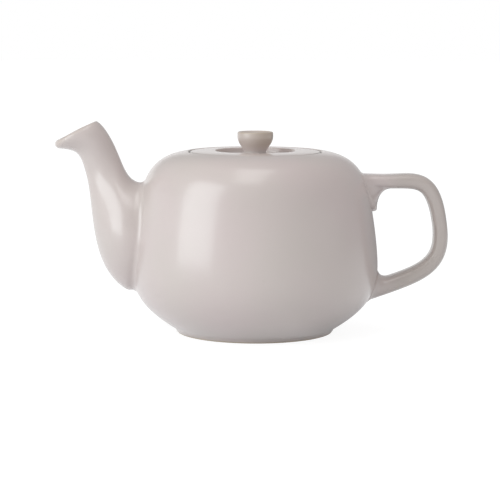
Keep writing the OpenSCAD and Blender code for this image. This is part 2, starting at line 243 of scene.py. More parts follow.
def inside_polygon(polygon: Array, points: Array) -> Array:
    """Tells which points lie inside a closed polygon.

    Args:
        polygon: The polygon's corners.
        points: The points.

    Returns:
        True for each point inside.
    """
    x, y = points[:, 0][:, None], points[:, 1][:, None]
    x1, y1 = polygon[:, 0][None], polygon[:, 1][None]
    x2, y2 = np.roll(polygon[:, 0], -1)[None], np.roll(polygon[:, 1], -1)[None]
    rise = np.where(y2 == y1, TINY, y2 - y1)
    crosses = ((y1 > y) != (y2 > y)) & (x < (x2 - x1) * (y - y1) / rise + x1)
    return crosses.sum(1) % 2 == 1


def nearest(polygon: Array, points: Array) -> Array:
    """Distance of points from a closed polygon's line.

    Args:
        polygon: The polygon's corners.
        points: The points.

    Returns:
        The distance of each.
    """
    a, b = polygon[None], np.roll(polygon, -1, axis=0)[None]
    p = points[:, None]
    along = np.clip(((p - a) * (b - a)).sum(-1) / np.maximum(((b - a) ** 2).sum(-1), TINY), 0, 1)
    return np.linalg.norm(p - (a + (b - a) * along[..., None]), axis=-1).min(1)


# Node trees


class Value:
    """A number on a node's output, on which arithmetic adds Math nodes."""

    def __init__(self, graph: "Graph", socket: bpy.types.NodeSocket) -> None:
        """Wraps a socket of a graph."""
        self.graph = graph
        self.socket = socket

    def _math(self, operation: str, *terms: Any) -> "Value":
        """A Math node on the given terms."""
        return self.graph.number("ShaderNodeMath", {"operation": operation}, dict(enumerate(terms)))

    def __add__(self, other: Any) -> "Value":
        """Sum."""
        return self._math("ADD", self, other)

    __radd__ = __add__

    def __sub__(self, other: Any) -> "Value":
        """Difference."""
        return self._math("SUBTRACT", self, other)

    def __rsub__(self, other: Any) -> "Value":
        """Difference from another term."""
        return self._math("SUBTRACT", other, self)

    def __mul__(self, other: Any) -> "Value":
        """Product."""
        return self._math("MULTIPLY", self, other)

    __rmul__ = __mul__

    def __truediv__(self, other: Any) -> "Value":
        """Quotient."""
        return self._math("DIVIDE", self, other)

    def __rtruediv__(self, other: Any) -> "Value":
        """Quotient of another term."""
        return self._math("DIVIDE", other, self)

    def __mod__(self, other: Any) -> "Value":
        """Remainder, never below nought."""
        return self._math("FLOORED_MODULO", self, other)

    def __rmod__(self, other: Any) -> "Value":
        """Remainder of another term."""
        return self._math("FLOORED_MODULO", other, self)

    def floor(self) -> "Value":
        """The whole number below."""
        return self._math("FLOOR", self)

    def cosine(self) -> "Value":
        """Cosine of an angle in radians."""
        return self._math("COSINE", self)

    def sine(self) -> "Value":
        """Sine of an angle in radians."""
        return self._math("SINE", self)

    def above(self, other: Any) -> "Value":
        """One where this is greater, else nought."""
        return self._math("GREATER_THAN", self, other)

    def ramp(self, low: float, high: float) -> "Value":
        """Nought up to low, one from high on and smooth between. Low may be the greater."""
        limits = {"Value": self, "From Min": low, "From Max": high}
        return self.graph.number("ShaderNodeMapRange", {"interpolation_type": "SMOOTHSTEP"}, limits)


class Graph:
    """A node tree that is built by calls."""

    def __init__(self, tree: bpy.types.NodeTree) -> None:
        """Takes a tree and empties it."""
        tree.nodes.clear()
        self.tree = tree

    def node(
        self,
        kind: str,
        settings: dict[str, Any] | None = None,
        inputs: dict[Any, Any] | None = None,
    ) -> bpy.types.Node:
        """Adds a node.

        Args:
            kind: The node's type.
            settings: Its settings, set before its sockets.
            inputs: Plain values, sockets or Value objects by socket name or number.

        Returns:
            The node.
        """
        made = self.tree.nodes.new(kind)
        for name, value in (settings or {}).items():
            setattr(made, name, value)
        for name, value in (inputs or {}).items():
            source = value.socket if isinstance(value, Value) else value
            if isinstance(source, bpy.types.NodeSocket):
                self.tree.links.new(source, made.inputs[name])
            else:
                made.inputs[name].default_value = source
        return made

    def number(
        self,
        kind: str,
        settings: dict[str, Any] | None = None,
        inputs: dict[Any, Any] | None = None,
        output: Any = 0,
    ) -> Value:
        """Adds a node and wraps one of its outputs as a number."""
        return Value(self, self.node(kind, settings, inputs).outputs[output])

    def axes(self, vector: bpy.types.NodeSocket) -> list[Value]:
        """The three coordinates of a vector."""
        split = self.node("ShaderNodeSeparateXYZ", {}, {0: vector})
        return [Value(self, split.outputs[axis]) for axis in "XYZ"]

    def blend(self, share: Any, a: Any, b: Any) -> bpy.types.NodeSocket:
        """Colour between a and b."""
        return self.node("ShaderNodeMix", {"data_type": "RGBA"}, {0: share, 6: a, 7: b}).outputs[2]


def own_graph(block: bpy.types.Material | bpy.types.World) -> Graph:
    """The emptied node tree of a material or a world."""
    block.use_nodes = True
    return Graph(block.node_tree)


@dataclass
class ModifierTree:
    """A mesh modifier's tree, with its inputs' names listed by socket type."""

    name: str
    inputs: dict[str, Sequence[str]]
    graph: Graph = field(init=False)
    inlet: bpy.types.Node = field(init=False)
    identifiers: dict[str, str] = field(init=False, default_factory=dict)

    def __post_init__(self) -> None:
        """Starts the tree with its sockets."""
        tree = bpy.data.node_groups.new(self.name, "GeometryNodeTree")
        for way in ("INPUT", "OUTPUT"):
            tree.interface.new_socket("Geometry", in_out=way, socket_type="NodeSocketGeometry")
        for kind, names in {"Material": ["material"], **self.inputs}.items():
            for name in names:
                socket = tree.interface.new_socket(
                    name, in_out="INPUT", socket_type="NodeSocket" + kind
                )
                self.identifiers[name] = socket.identifier
        self.graph = Graph(tree)
        self.inlet = self.graph.node("NodeGroupInput")

    def value(self, name: str) -> Value:
        """One of the named inputs."""
        return Value(self.graph, self.inlet.outputs[name])

    def drill(self, vertices: int, radius: str, depth: str) -> bpy.types.NodeSocket:
        """An upright cylinder whose radius and depth are named inputs."""
        sizes = {"Vertices": vertices, "Radius": self.value(radius), "Depth": self.value(depth)}
        return self.graph.node("GeometryNodeMeshCylinder", {}, sizes).outputs["Mesh"]

    def pierce(self, solid: bpy.types.NodeSocket, drills: bpy.types.NodeSocket) -> None:
        """Ends the tree with the solid less the drills, as real geometry in its material.

        Args:
            solid: The closed geometry.
            drills: What is cut out of it.
        """
        settings = {"operation": "DIFFERENCE", "solver": "EXACT"}
        meshes = {"Mesh 1": solid, "Mesh 2": drills}
        cut = self.graph.node("GeometryNodeMeshBoolean", settings, meshes)
        real = self.graph.node("GeometryNodeRealizeInstances", {}, {0: cut.outputs["Mesh"]})
        finish = {"Geometry": real.outputs[0], "Material": self.value("material")}
        coat = self.graph.node("GeometryNodeSetMaterial", {}, finish)
        self.graph.node("NodeGroupOutput", {}, {0: coat.outputs[0]})

    def applied(self, base: bpy.types.Object, **values: Any) -> bpy.types.Mesh:
        """Runs the tree on an object.

        Args:
            base: The object that carries the geometry going in. It is removed.
            **values: The named inputs' values.

        Returns:
            The finished plain mesh.
        """
        modifier = base.modifiers.new(self.name, "NODES")
        modifier.node_group = self.graph.tree
        for name, value in values.items():
            modifier[self.identifiers[name]] = value
        evaluated = base.evaluated_get(bpy.context.evaluated_depsgraph_get())
        mesh = bpy.data.meshes.new_from_object(evaluated)
        base.modifiers.remove(modifier)
        bpy.data.objects.remove(base)
        return mesh


# Finishes


@dataclass(frozen=True)
class Glaze:
    """Satin glaze over a buff stoneware body.

    It breaks warmer where it runs thin on edges, lies greyer where it gathers in hollows, and stops
    short of the ring that stands on the table. The knob is warmer all round. Painted shade darkens
    the handle, deepens the knob towards the handle's side and darkens the gap between the lid and
    the mouth. The limits of a mask say where it starts to rise and where it is full: on a noise, on
    a height or a reach in metres, or on the square of the distance from the axis.
    """

    name: str = "satin_glaze"
    body: Color = (0.575, 0.489, 0.474, 1)
    cool: Color = (0.56, 0.496, 0.466, 1)
    # Painted shade for the handle, which stands in the body's shadow.
    grip: Color = (0.42, 0.375, 0.335, 1)
    thin: Color = (0.46, 0.375, 0.30, 1)
    deep: Color = (0.5, 0.475, 0.45, 1)
    clay: Color = (0.52, 0.43, 0.33, 1)
    # Painted shade for the walls of the gap between the lid and the mouth.
    gap_shade: Color = (0.16, 0.14, 0.125, 1)
    iron: Color = (0.3, 0.25, 0.2, 1)
    # Scale and detail of the noises.
    clouds: Pair = (16.0, 2.0)
    mottle: Pair = (230.0, 4.0)
    grain: Pair = (1500.0, 2.0)
    peel: Pair = (420.0, 2.0)
    speck_scale: float = 330.0
    # Limits of the masks.
    cloud_limits: Pair = (0.25, 0.75)
    mottle_limits: Pair = (0.35, 0.65)
    speck_limits: Pair = (0.1, 0.05)
    speck_mottle: Pair = (0.55, 0.62)
    handle_shade_reach: Pair = (0.076, 0.094)
    knob_height: Pair = (0.114, 0.119)
    knob_square: Pair = (0.0009, 0.0003)
    # Painted shade on the knob grows over this reach towards the handle's side.
    knob_shade_reach: Pair = (-0.008, 0.01)
    gap_shade_height: Pair = (0.104, 0.106)
    gap_shade_inner_square: Pair = (0.0016, 0.00168)
    gap_shade_outer_square: Pair = (0.0018, 0.00175)
    bare_height: Pair = (0.00098, 0.0007)
    # Shares of the colours. A pair is the least share and what a mask adds to it.
    # Share of the painted shade on the handle.
    grip_share: float = 0.55
    deep_share: float = 0.45
    edge_share: Pair = (0.35, 0.65)
    knob_warmth_and_shade_share: Pair = (0.28, 0.46)
    gap_shade_share: float = 0.8
    speck_share: float = 0.22
    # Gloss and relief.
    roughness: float = 0.33
    roughness_spread: float = 0.05
    bare_roughness: float = 0.85
    index: float = 1.5
    coat: float = 0.7
    coat_roughness: float = 0.17
    relief: float = 0.12
    relief_height: float = 0.0004
    grain_relief: float = 0.12
    bare_relief: float = 2.0

    def make(self) -> bpy.types.Material:
        """Builds the material.

        Returns:
            A material that reads Object coordinates and the pieces' own edge and hollow marks.
        """
        material = bpy.data.materials.new(self.name)
        g = own_graph(material)
        place = g.node("ShaderNodeTexCoord").outputs["Object"]
        x, y, height = g.axes(place)
        square = x * x + y * y
        edge, hollow = (
            g.number("ShaderNodeAttribute", {"attribute_name": mark}, {}, "Fac") for mark in MARKS
        )
        clouds, mottle, grain, peel = (
            g.number("ShaderNodeTexNoise", {}, {"Vector": place, "Scale": scale, "Detail": detail})
            for scale, detail in (self.clouds, self.mottle, self.grain, self.peel)
        )
        cells = {"Vector": place, "Scale": self.speck_scale}
        specks = g.number("ShaderNodeTexVoronoi", {}, cells, "Distance")
        speck = specks.ramp(*self.speck_limits) * mottle.ramp(*self.speck_mottle)
        knob = height.ramp(*self.knob_height) * square.ramp(*self.knob_square)
        # Painted shade in the gap between the lid and the mouth.
        inner, outer = square.ramp(*self.gap_shade_inner_square), square.ramp(*self.gap_shade_outer_square)
        gap_shade = height.ramp(*self.gap_shade_height) * inner * outer
        bare = height.ramp(*self.bare_height)

        edge_thin = self.edge_share[0] + self.edge_share[1] * mottle.ramp(*self.mottle_limits)
        # The knob is warmer all round, and painted shade deepens it towards the handle's side.
        knob_warmth_and_shade = self.knob_warmth_and_shade_share[0] + self.knob_warmth_and_shade_share[1] * x.ramp(*self.knob_shade_reach)
        tone = g.blend(clouds.ramp(*self.cloud_limits), self.body, self.cool)
        for share, color in (
            # The handle darkens with painted shade.
            (x.ramp(*self.handle_shade_reach) * self.grip_share, self.grip),
            (hollow * self.deep_share, self.deep),
            (edge * edge_thin, self.thin),
            (knob * knob_warmth_and_shade, self.thin),
            (gap_shade * self.gap_shade_share, self.gap_shade),
            (speck * self.speck_share, self.iron),
            (bare, self.clay),
        ):
            tone = g.blend(share, tone, color)
        spread = self.roughness_spread
        rough = self.roughness + spread * (clouds - 0.5) + spread * edge
        relief = peel + grain * self.grain_relief + bare * grain * self.bare_relief
        bump = {"Strength": self.relief, "Distance": self.relief_height, "Height": relief}
        shader = g.node(
            "ShaderNodeBsdfPrincipled",
            {},
            {
                "Base Color": tone,
                "Roughness": rough + bare * (self.bare_roughness - rough),
                "IOR": self.index,
                "Normal": g.node("ShaderNodeBump", {}, bump).outputs[0],
                "Coat Weight": self.coat,
                "Coat Roughness": self.coat_roughness,
                "Coat IOR": self.index,
            },
        )
        g.node("ShaderNodeOutputMaterial", {}, {"Surface": shader.outputs[0]})
        return material


@dataclass(frozen=True)
class Backdrop:
    """Plain pale paper: seen white by the camera and in reflections, and shaded by the object.

    Reflections see a painted shadow on it near the foot on the handle's side, and a painted dimness
    behind the handle.
    """

    name: str = "pale_paper"
    color: Color = (0.8, 0.815, 0.84, 1)
    shade: Color = (0.2, 0.2, 0.2, 1)
    glow: float = 0.9
    dusk: float = 0.3
    mirrored: float = 0.75
    painted_foot_shadow: float = 0.5
    foot_square: Pair = (0.014, 0.006)
    foot_reach: Pair = (0.02, 0.055)
    far_reach: Pair = (0.03, 0.1)
    far_depth: Pair = (0.0, 0.14)
    far_slant: float = 0.6

    def make(self) -> bpy.types.Material:
        """Builds the material.

        Returns:
            A material that reads Object coordinates and the kind of ray.
        """
        material = bpy.data.materials.new(self.name)
        g = own_graph(material)
        path = g.node("ShaderNodeLightPath").outputs
        x, y, _ = g.axes(g.node("ShaderNodeTexCoord").outputs["Object"])
        camera, glossy, through = (
            Value(g, path[f"Is {ray} Ray"]) for ray in ("Camera", "Glossy", "Transmission")
        )
        # Painted shadow near the foot and painted dimness behind the handle, seen only in
        # reflections.
        foot = (x * x + y * y).ramp(*self.foot_square) * x.ramp(*self.foot_reach)
        seen = camera + glossy * (self.mirrored - self.painted_foot_shadow * foot) + through
        far = glossy * x.ramp(*self.far_reach) * (y - self.far_slant * x).ramp(*self.far_depth)
        lit, faint = (
            g.node("ShaderNodeBsdfDiffuse", {}, {"Color": color}).outputs[0]
            for color in (self.color, self.shade)
        )
        white, dim = (
            g.node("ShaderNodeEmission", {}, {"Strength": strength}).outputs[0]
            for strength in (self.glow, self.dusk)
        )
        shown = g.node("ShaderNodeAddShader", {}, {0: faint, 1: white}).outputs[0]
        paper = g.node("ShaderNodeMixShader", {}, {0: seen, 1: lit, 2: shown}).outputs[0]
        surface = g.node("ShaderNodeMixShader", {}, {0: far, 1: paper, 2: dim}).outputs[0]
        g.node("ShaderNodeOutputMaterial", {}, {"Surface": surface})
        return material


# Meshes


def linked(name: str, data: bpy.types.ID) -> bpy.types.Object:
    """Puts a new object in the scene.

    Args:
        name: The object's name.
        data: The mesh, lamp or camera that it shows.

    Returns:
        The object.
    """
    piece = bpy.data.objects.new(name, data)
    bpy.context.scene.collection.objects.link(piece)
    return piece


def mark_bends(mesh: bpy.types.Mesh) -> None:
    """Stores how sharply each point of a mesh bends outwards and inwards, for the glaze to read.

    Args:
        mesh: The mesh, which gets one attribute for each of the marks.
    """
    count = len(mesh.vertices)
    place, normal = np.zeros(count * 3), np.zeros(count * 3)
    mesh.vertices.foreach_get("co", place)
    mesh.vertices.foreach_get("normal", normal)
    place, normal = place.reshape(-1, 3), normal.reshape(-1, 3)
    pairs = np.zeros(len(mesh.edges) * 2, int)
    mesh.edges.foreach_get("vertices", pairs)
    a, b = pairs.reshape(-1, 2).T
    way = place[b] - place[a]
    span = np.maximum(np.linalg.norm(way, axis=1), SHORTEST)
    turn = ((normal[b] - normal[a]) * way).sum(1) / span**2
    total, weight = np.zeros(count), np.zeros(count)
    for end in (a, b):
        np.add.at(total, end, turn * span)
        np.add.at(weight, end, span)
    bend = total / np.maximum(weight, TINY)
    for _ in range(MARK_PASSES):
        total, weight = bend.copy(), np.ones(count)
        for here, there in ((a, b), (b, a)):
            np.add.at(total, here, bend[there])
            np.add.at(weight, here, 1.0)
        bend = total / weight
    for name, (sign, first, more) in MARKS.items():
        layer = mesh.attributes.new(name, "FLOAT", "POINT")
        layer.data.foreach_set("value", np.clip((sign * bend - first) / more, 0, 1))


def dressed(name: str, mesh: bpy.types.Mesh, finish: bpy.types.Material) -> bpy.types.Object:
    """A smooth piece in its finish.

    Args:
        name: The piece's name.
        mesh: Its mesh, in place.
        finish: Its material.

    Returns:
        The object.
    """
    mesh.name = name
    mesh.transform(Matrix.Scale(SHRINK, 4))
    mesh.materials.clear()
    mesh.materials.append(finish)
    mesh.shade_smooth()
    mesh.set_sharp_from_angle(angle=math.radians(SHARP_ANGLE))
    mark_bends(mesh)
    return linked(name, mesh)


class Shell:
    """A mesh in millimetres that grows by rings and patches that share their points."""

    def __init__(self) -> None:
        """Starts empty."""
        self.points: list[Array] = []
        self.faces: list[tuple[int, ...]] = []

    def add(self, points: Array) -> Array:
        """Adds points and returns their numbers."""
        self.points.extend(points)
        return np.arange(len(self.points) - len(points), len(self.points))

    def turned(self, rows: Array, turn: Array) -> Array:
        """Adds rows that are turned about the axis.

        Args:
            rows: Radius and height of each row.
            turn: The angles at which its points stand.

        Returns:
            The point numbers by row and way round.
        """
        x, y, level = np.cos(turn), np.sin(turn), np.ones(len(turn))
        return np.array([self.add(np.stack([r * x, r * y, z * level], -1)) for r, z in rows])

    def bridge(self, a: Array, b: Array, skip: Collection[int] = ()) -> None:
        """Adds quads between two closed rings of equal length.

        Args:
            a: Point numbers of one ring.
            b: Point numbers of the other.
            skip: Places along the rings that get no quad.
        """
        for i in range(len(a)):
            if i not in skip:
                k = (i + 1) % len(a)
                self.faces.append((int(a[i]), int(a[k]), int(b[k]), int(b[i])))

    def fan(self, ring: Array, middle: Array) -> None:
        """Adds triangles from a closed ring to one point."""
        m = int(self.add(middle[None])[0])
        self.faces += [(int(a), int(b), m) for a, b in zip(ring, np.roll(ring, -1), strict=True)]

    def loft(self, rings: Sequence[Array]) -> list[Array]:
        """Adds rings of points and the quads between them.

        Args:
            rings: The points of each ring.

        Returns:
            The point numbers of each ring.
        """
        ids = [self.add(ring) for ring in rings]
        for a, b in pairwise(ids):
            self.bridge(a, b)
        return ids

    def mesh(self, name: str) -> bpy.types.Mesh:
        """The shell as a mesh in metres, with its faces outwards.

        Args:
            name: The mesh's name.

        Returns:
            The mesh, without the points that no face uses.
        """
        mesh = bpy.data.meshes.new(name)
        mesh.from_pydata([tuple(p * MM) for p in self.points], [], self.faces)
        edit = bmesh.new()
        edit.from_mesh(mesh)
        loose = [v for v in edit.verts if not v.link_faces]
        bmesh.ops.delete(edit, geom=loose, context="VERTS")
        bmesh.ops.recalc_face_normals(edit, faces=edit.faces)
        open_edges = sum(1 for e in edit.edges if len(e.link_faces) != 2)
        log.info("%s: %d faces, %d open edges", name, len(edit.faces), open_edges)
        edit.to_mesh(mesh)
        edit.free()
        return mesh


# The pot


@dataclass
class Body:
    """The turned body in section, from the rim over the outside and the foot to the inside."""

    diameter: float = 155.0
    rim_height: float = 114.0
    belly_height: float = 42.0
    wall: float = 4.5
    floor: float = 4.5
    shoulder_inset: float = 7.0
    shoulder_drop: float = 22.0
    rim_tilt: float = 9.0
    shoulder_tilt: float = 73.6
    foot_diameter: float = 101.4
    foot_height: float = 2.8
    foot_tilt: float = 32.0
    foot_inset: float = 1.7
    foot_ring: float = 3.4
    foot_hollow: float = 2.1
    foot_slope: float = 1.2
    mouth_diameter: float = 83.6
    seat_drop: float = 4.6
    seat_width: float = 3.6
    seat_thickness: float = 3.4
    seat_slope: float = 0.4
    lip_round: float = 1.5
    foot_rounds: tuple[float, ...] = (1.2, 0.6, 0.6, 1.0)
    floor_rounds: tuple[float, ...] = (4.0, 2.0)
    seat_rounds: tuple[float, ...] = (1.2, 0.6, 0.4)
    top_pull: Pair = (0.196, 0.572)
    side_pull: Pair = (0.198, 0.274)
    low_pull: Pair = (0.347, 0.525)
    # Shares of the curves: where the top leaves the lip outside and the seat inside, and where
    # the foot's rounding starts.
    top_start: float = 0.012
    top_end_inside: float = 0.34
    foot_start: float = 0.97
    row_spacing: float = 1.9
    flat_spacing: float = 6.0

    def __post_init__(self) -> None:
        """Works out the section's curves and its line from the foot up."""
        self.radius = self.diameter / 2
        self.mouth_radius = self.mouth_diameter / 2
        rim = np.array([self.mouth_radius + self.lip_round, self.rim_height])
        shoulder = np.array(
            [self.radius - self.shoulder_inset, self.rim_height - self.shoulder_drop]
        )
        belly = np.array([self.radius, self.belly_height])
        foot = np.array([self.foot_diameter / 2, self.foot_height])
        self.top = Bend(rim, -self.rim_tilt, shoulder, -self.shoulder_tilt, self.top_pull)
        self.side = Bend(shoulder, -self.shoulder_tilt, belly, -90, self.side_pull)
        self.low = Bend(belly, -90, foot, 180 + self.foot_tilt, self.low_pull)
        fine = np.linspace(0, 1, 400)
        line = np.vstack([self.top.at(fine), self.side.at(fine)[1:], self.low.at(fine)[1:]])
        steps = np.cumsum(np.linalg.norm(np.diff(line, axis=0), axis=1))
        self.line_radius, self.line_height = line[::-1, 0], line[::-1, 1]
        self.line_along = np.concatenate([[0.0], steps])[::-1]

    def surface(self, z: Array) -> Array:
        """Radius of the outside at the heights z."""
        return np.interp(z, self.line_height, self.line_radius)

    def along(self, z: Array) -> Array:
        """Distance along the outside from the rim down to the heights z."""
        return np.interp(z, self.line_height, self.line_along)

    def gap(self, p: Array) -> Array:
        """Distance of points from the outside, level with them."""
        return np.hypot(p[..., 0], p[..., 1]) - self.surface(p[..., 2])

    def settle(self, p: Array, gap: Any) -> Array:
        """Points moved level, to or from the axis, until they stand the gap off the outside."""
        k = (self.surface(p[..., 2]) + gap) / np.hypot(p[..., 0], p[..., 1])
        return np.stack([p[..., 0] * k, p[..., 1] * k, p[..., 2]], -1)

    def outer_rows(self) -> tuple[Array, int, int]:
        """Rows of the outside, from the lip of the mouth to the middle of the base.

        Returns:
            The rows in radius and height, and the first and last row of the plain outside.
        """
        lip_middle = (self.mouth_radius + self.lip_round, self.rim_height - self.lip_round)
        lip = arc(lip_middle, self.lip_round, 180, 90, 8)
        curves = []
        for curve, first, spare in (
            (self.top, self.top_start, 1),
            (self.side, 0.0, 1),
            (self.low, 0.0, 2),
        ):
            steps = np.diff(curve.at(np.linspace(0, 1, 50)), axis=0)
            way = float(np.linalg.norm(steps, axis=1).sum())
            t = np.linspace(first, 1, max(4, round(way / self.row_spacing)))
            curves.append(curve.at(t[:-spare]))
        plain = np.vstack(curves)
        ring = self.foot_diameter / 2 - self.foot_inset
        inner = ring - self.foot_ring
        foot = rounded(
            [
                self.low.at(self.foot_start),
                [self.foot_diameter / 2, self.foot_height],
                [ring, 0],
                [inner, 0],
                [inner - self.foot_slope, self.foot_hollow],
                [NEAR_AXIS, self.foot_hollow],
            ],
            self.foot_rounds,
        )
        rows = np.vstack([lip, plain, filled(foot, self.flat_spacing)])
        return rows[:-1], len(lip), len(lip) + len(plain) - 1

    def inner_rows(self) -> Array:
        """Rows of the inside, from near the middle of the floor to the seat and up to the lip.

        Returns:
            The rows in radius and height.
        """
        floor_z = self.foot_hollow + self.floor
        throat = self.mouth_radius - self.seat_width
        seat_z = self.rim_height - self.seat_drop
        low, side, top = (
            curve.beside(np.linspace(1, last, steps), self.wall)
            for curve, last, steps in (
                (self.low, 0, 26),
                (self.side, 0, 20),
                (self.top, self.top_end_inside, 16),
            )
        )
        corner = [low[0][0] - self.wall, floor_z]
        bend = rounded([[NEAR_AXIS, floor_z], corner, low[0], low[1]], self.floor_rounds)
        bottom = filled(bend[:2], self.flat_spacing)
        seat = rounded(
            [
                top[-1],
                [throat + self.seat_slope, seat_z - self.seat_thickness],
                [throat, seat_z],
                [self.mouth_radius, seat_z],
                [self.mouth_radius, self.rim_height - self.lip_round],
            ],
            self.seat_rounds,
            steps=4,
        )
        return np.vstack([bottom[1:-1], bend[1:-1], low[1:], side[1:], top[1:-1], seat[:-1]])


@dataclass(frozen=True)
class Fillet:
    """Root fillet of a spout or a strap: above, beside and below its section."""

    reach: Triple
    spread: Triple
    stand: Triple = (0.0, 0.0, 0.0)

    @staticmethod
    def around(row: Triple, a: Array) -> Array:
        """A row's value at the angles a, with 0 above the section."""
        up, down = np.maximum(0, np.cos(a)), np.maximum(0, -np.cos(a))
        return row[0] * up**2 + row[1] * np.sin(a) ** 2 + row[2] * down**2


@dataclass
class Root:
    """Where a lofted limb grows out of the body."""

    body: Body
    rail: Rail
    out: Rail
    fillet: Fillet
    first: float
    edge_spread: float = 0.6
    edge_end: float = 0.97
    halvings: int = 46

    def reach(self, a: Array, gap: Any) -> Array:
        """Finds where the limb's lengthwise lines stand a gap off the body.

        Args:
            a: The angles around the section.
            gap: The gap, or one for each angle.

        Returns:
            The share of each line.
        """
        low, high = np.full_like(a, -1.0), np.full_like(a, self.first)
        for _ in range(self.halvings):
            t = (low + high) / 2
            far = self.body.gap(self.rail(t, a)) > gap
            high = np.where(far, t, high)
            low = np.where(far, low, t)
        return (low + high) / 2

    def ring(self, a: Array, gap: Array, spread: Array) -> Array:
        """One ring that stands the gap off the body and is widened by the spread."""
        t = self.reach(a, gap)
        return self.body.settle(self.rail(t, a) + self.out(t, a) * spread[:, None], gap)

    def rings(self, a: Array, steps: int, run: int, edge_steps: int = 0) -> list[Array]:
        """Rings from the body outwards to where the limb's plain section starts.

        Args:
            a: The angles around the section.
            steps: Steps in the fillet.
            run: Steps from the fillet to the plain section.
            edge_steps: Rings in the blunt edge, if it has one.

        Returns:
            The rings, the first on the body.
        """
        rows = (self.fillet.reach, self.fillet.spread, self.fillet.stand)
        reach, spread, stand = (Fillet.around(row, a) for row in rows)
        last = self.edge_end if edge_steps else 1.0
        flat = 1 - math.sqrt(1 - last * last)
        out: list[Array] = []
        for k in range(edge_steps):
            q = math.radians(90 * k / edge_steps)
            wide = spread * flat + self.edge_spread * stand * math.cos(q)
            out.append(self.ring(a, stand * math.sin(q), wide))
        for k in range(steps + 1):
            u = last * math.sin(math.radians(90 * (1 - k / steps)))
            wide = spread * (1 - math.sqrt(max(0.0, 1 - u * u)))
            out.append(self.ring(a, mix(reach, stand, u / last), wide))
        start = self.reach(a, reach)
        return out + [self.rail(mix(start, self.first, k / run), a) for k in range(1, run)]


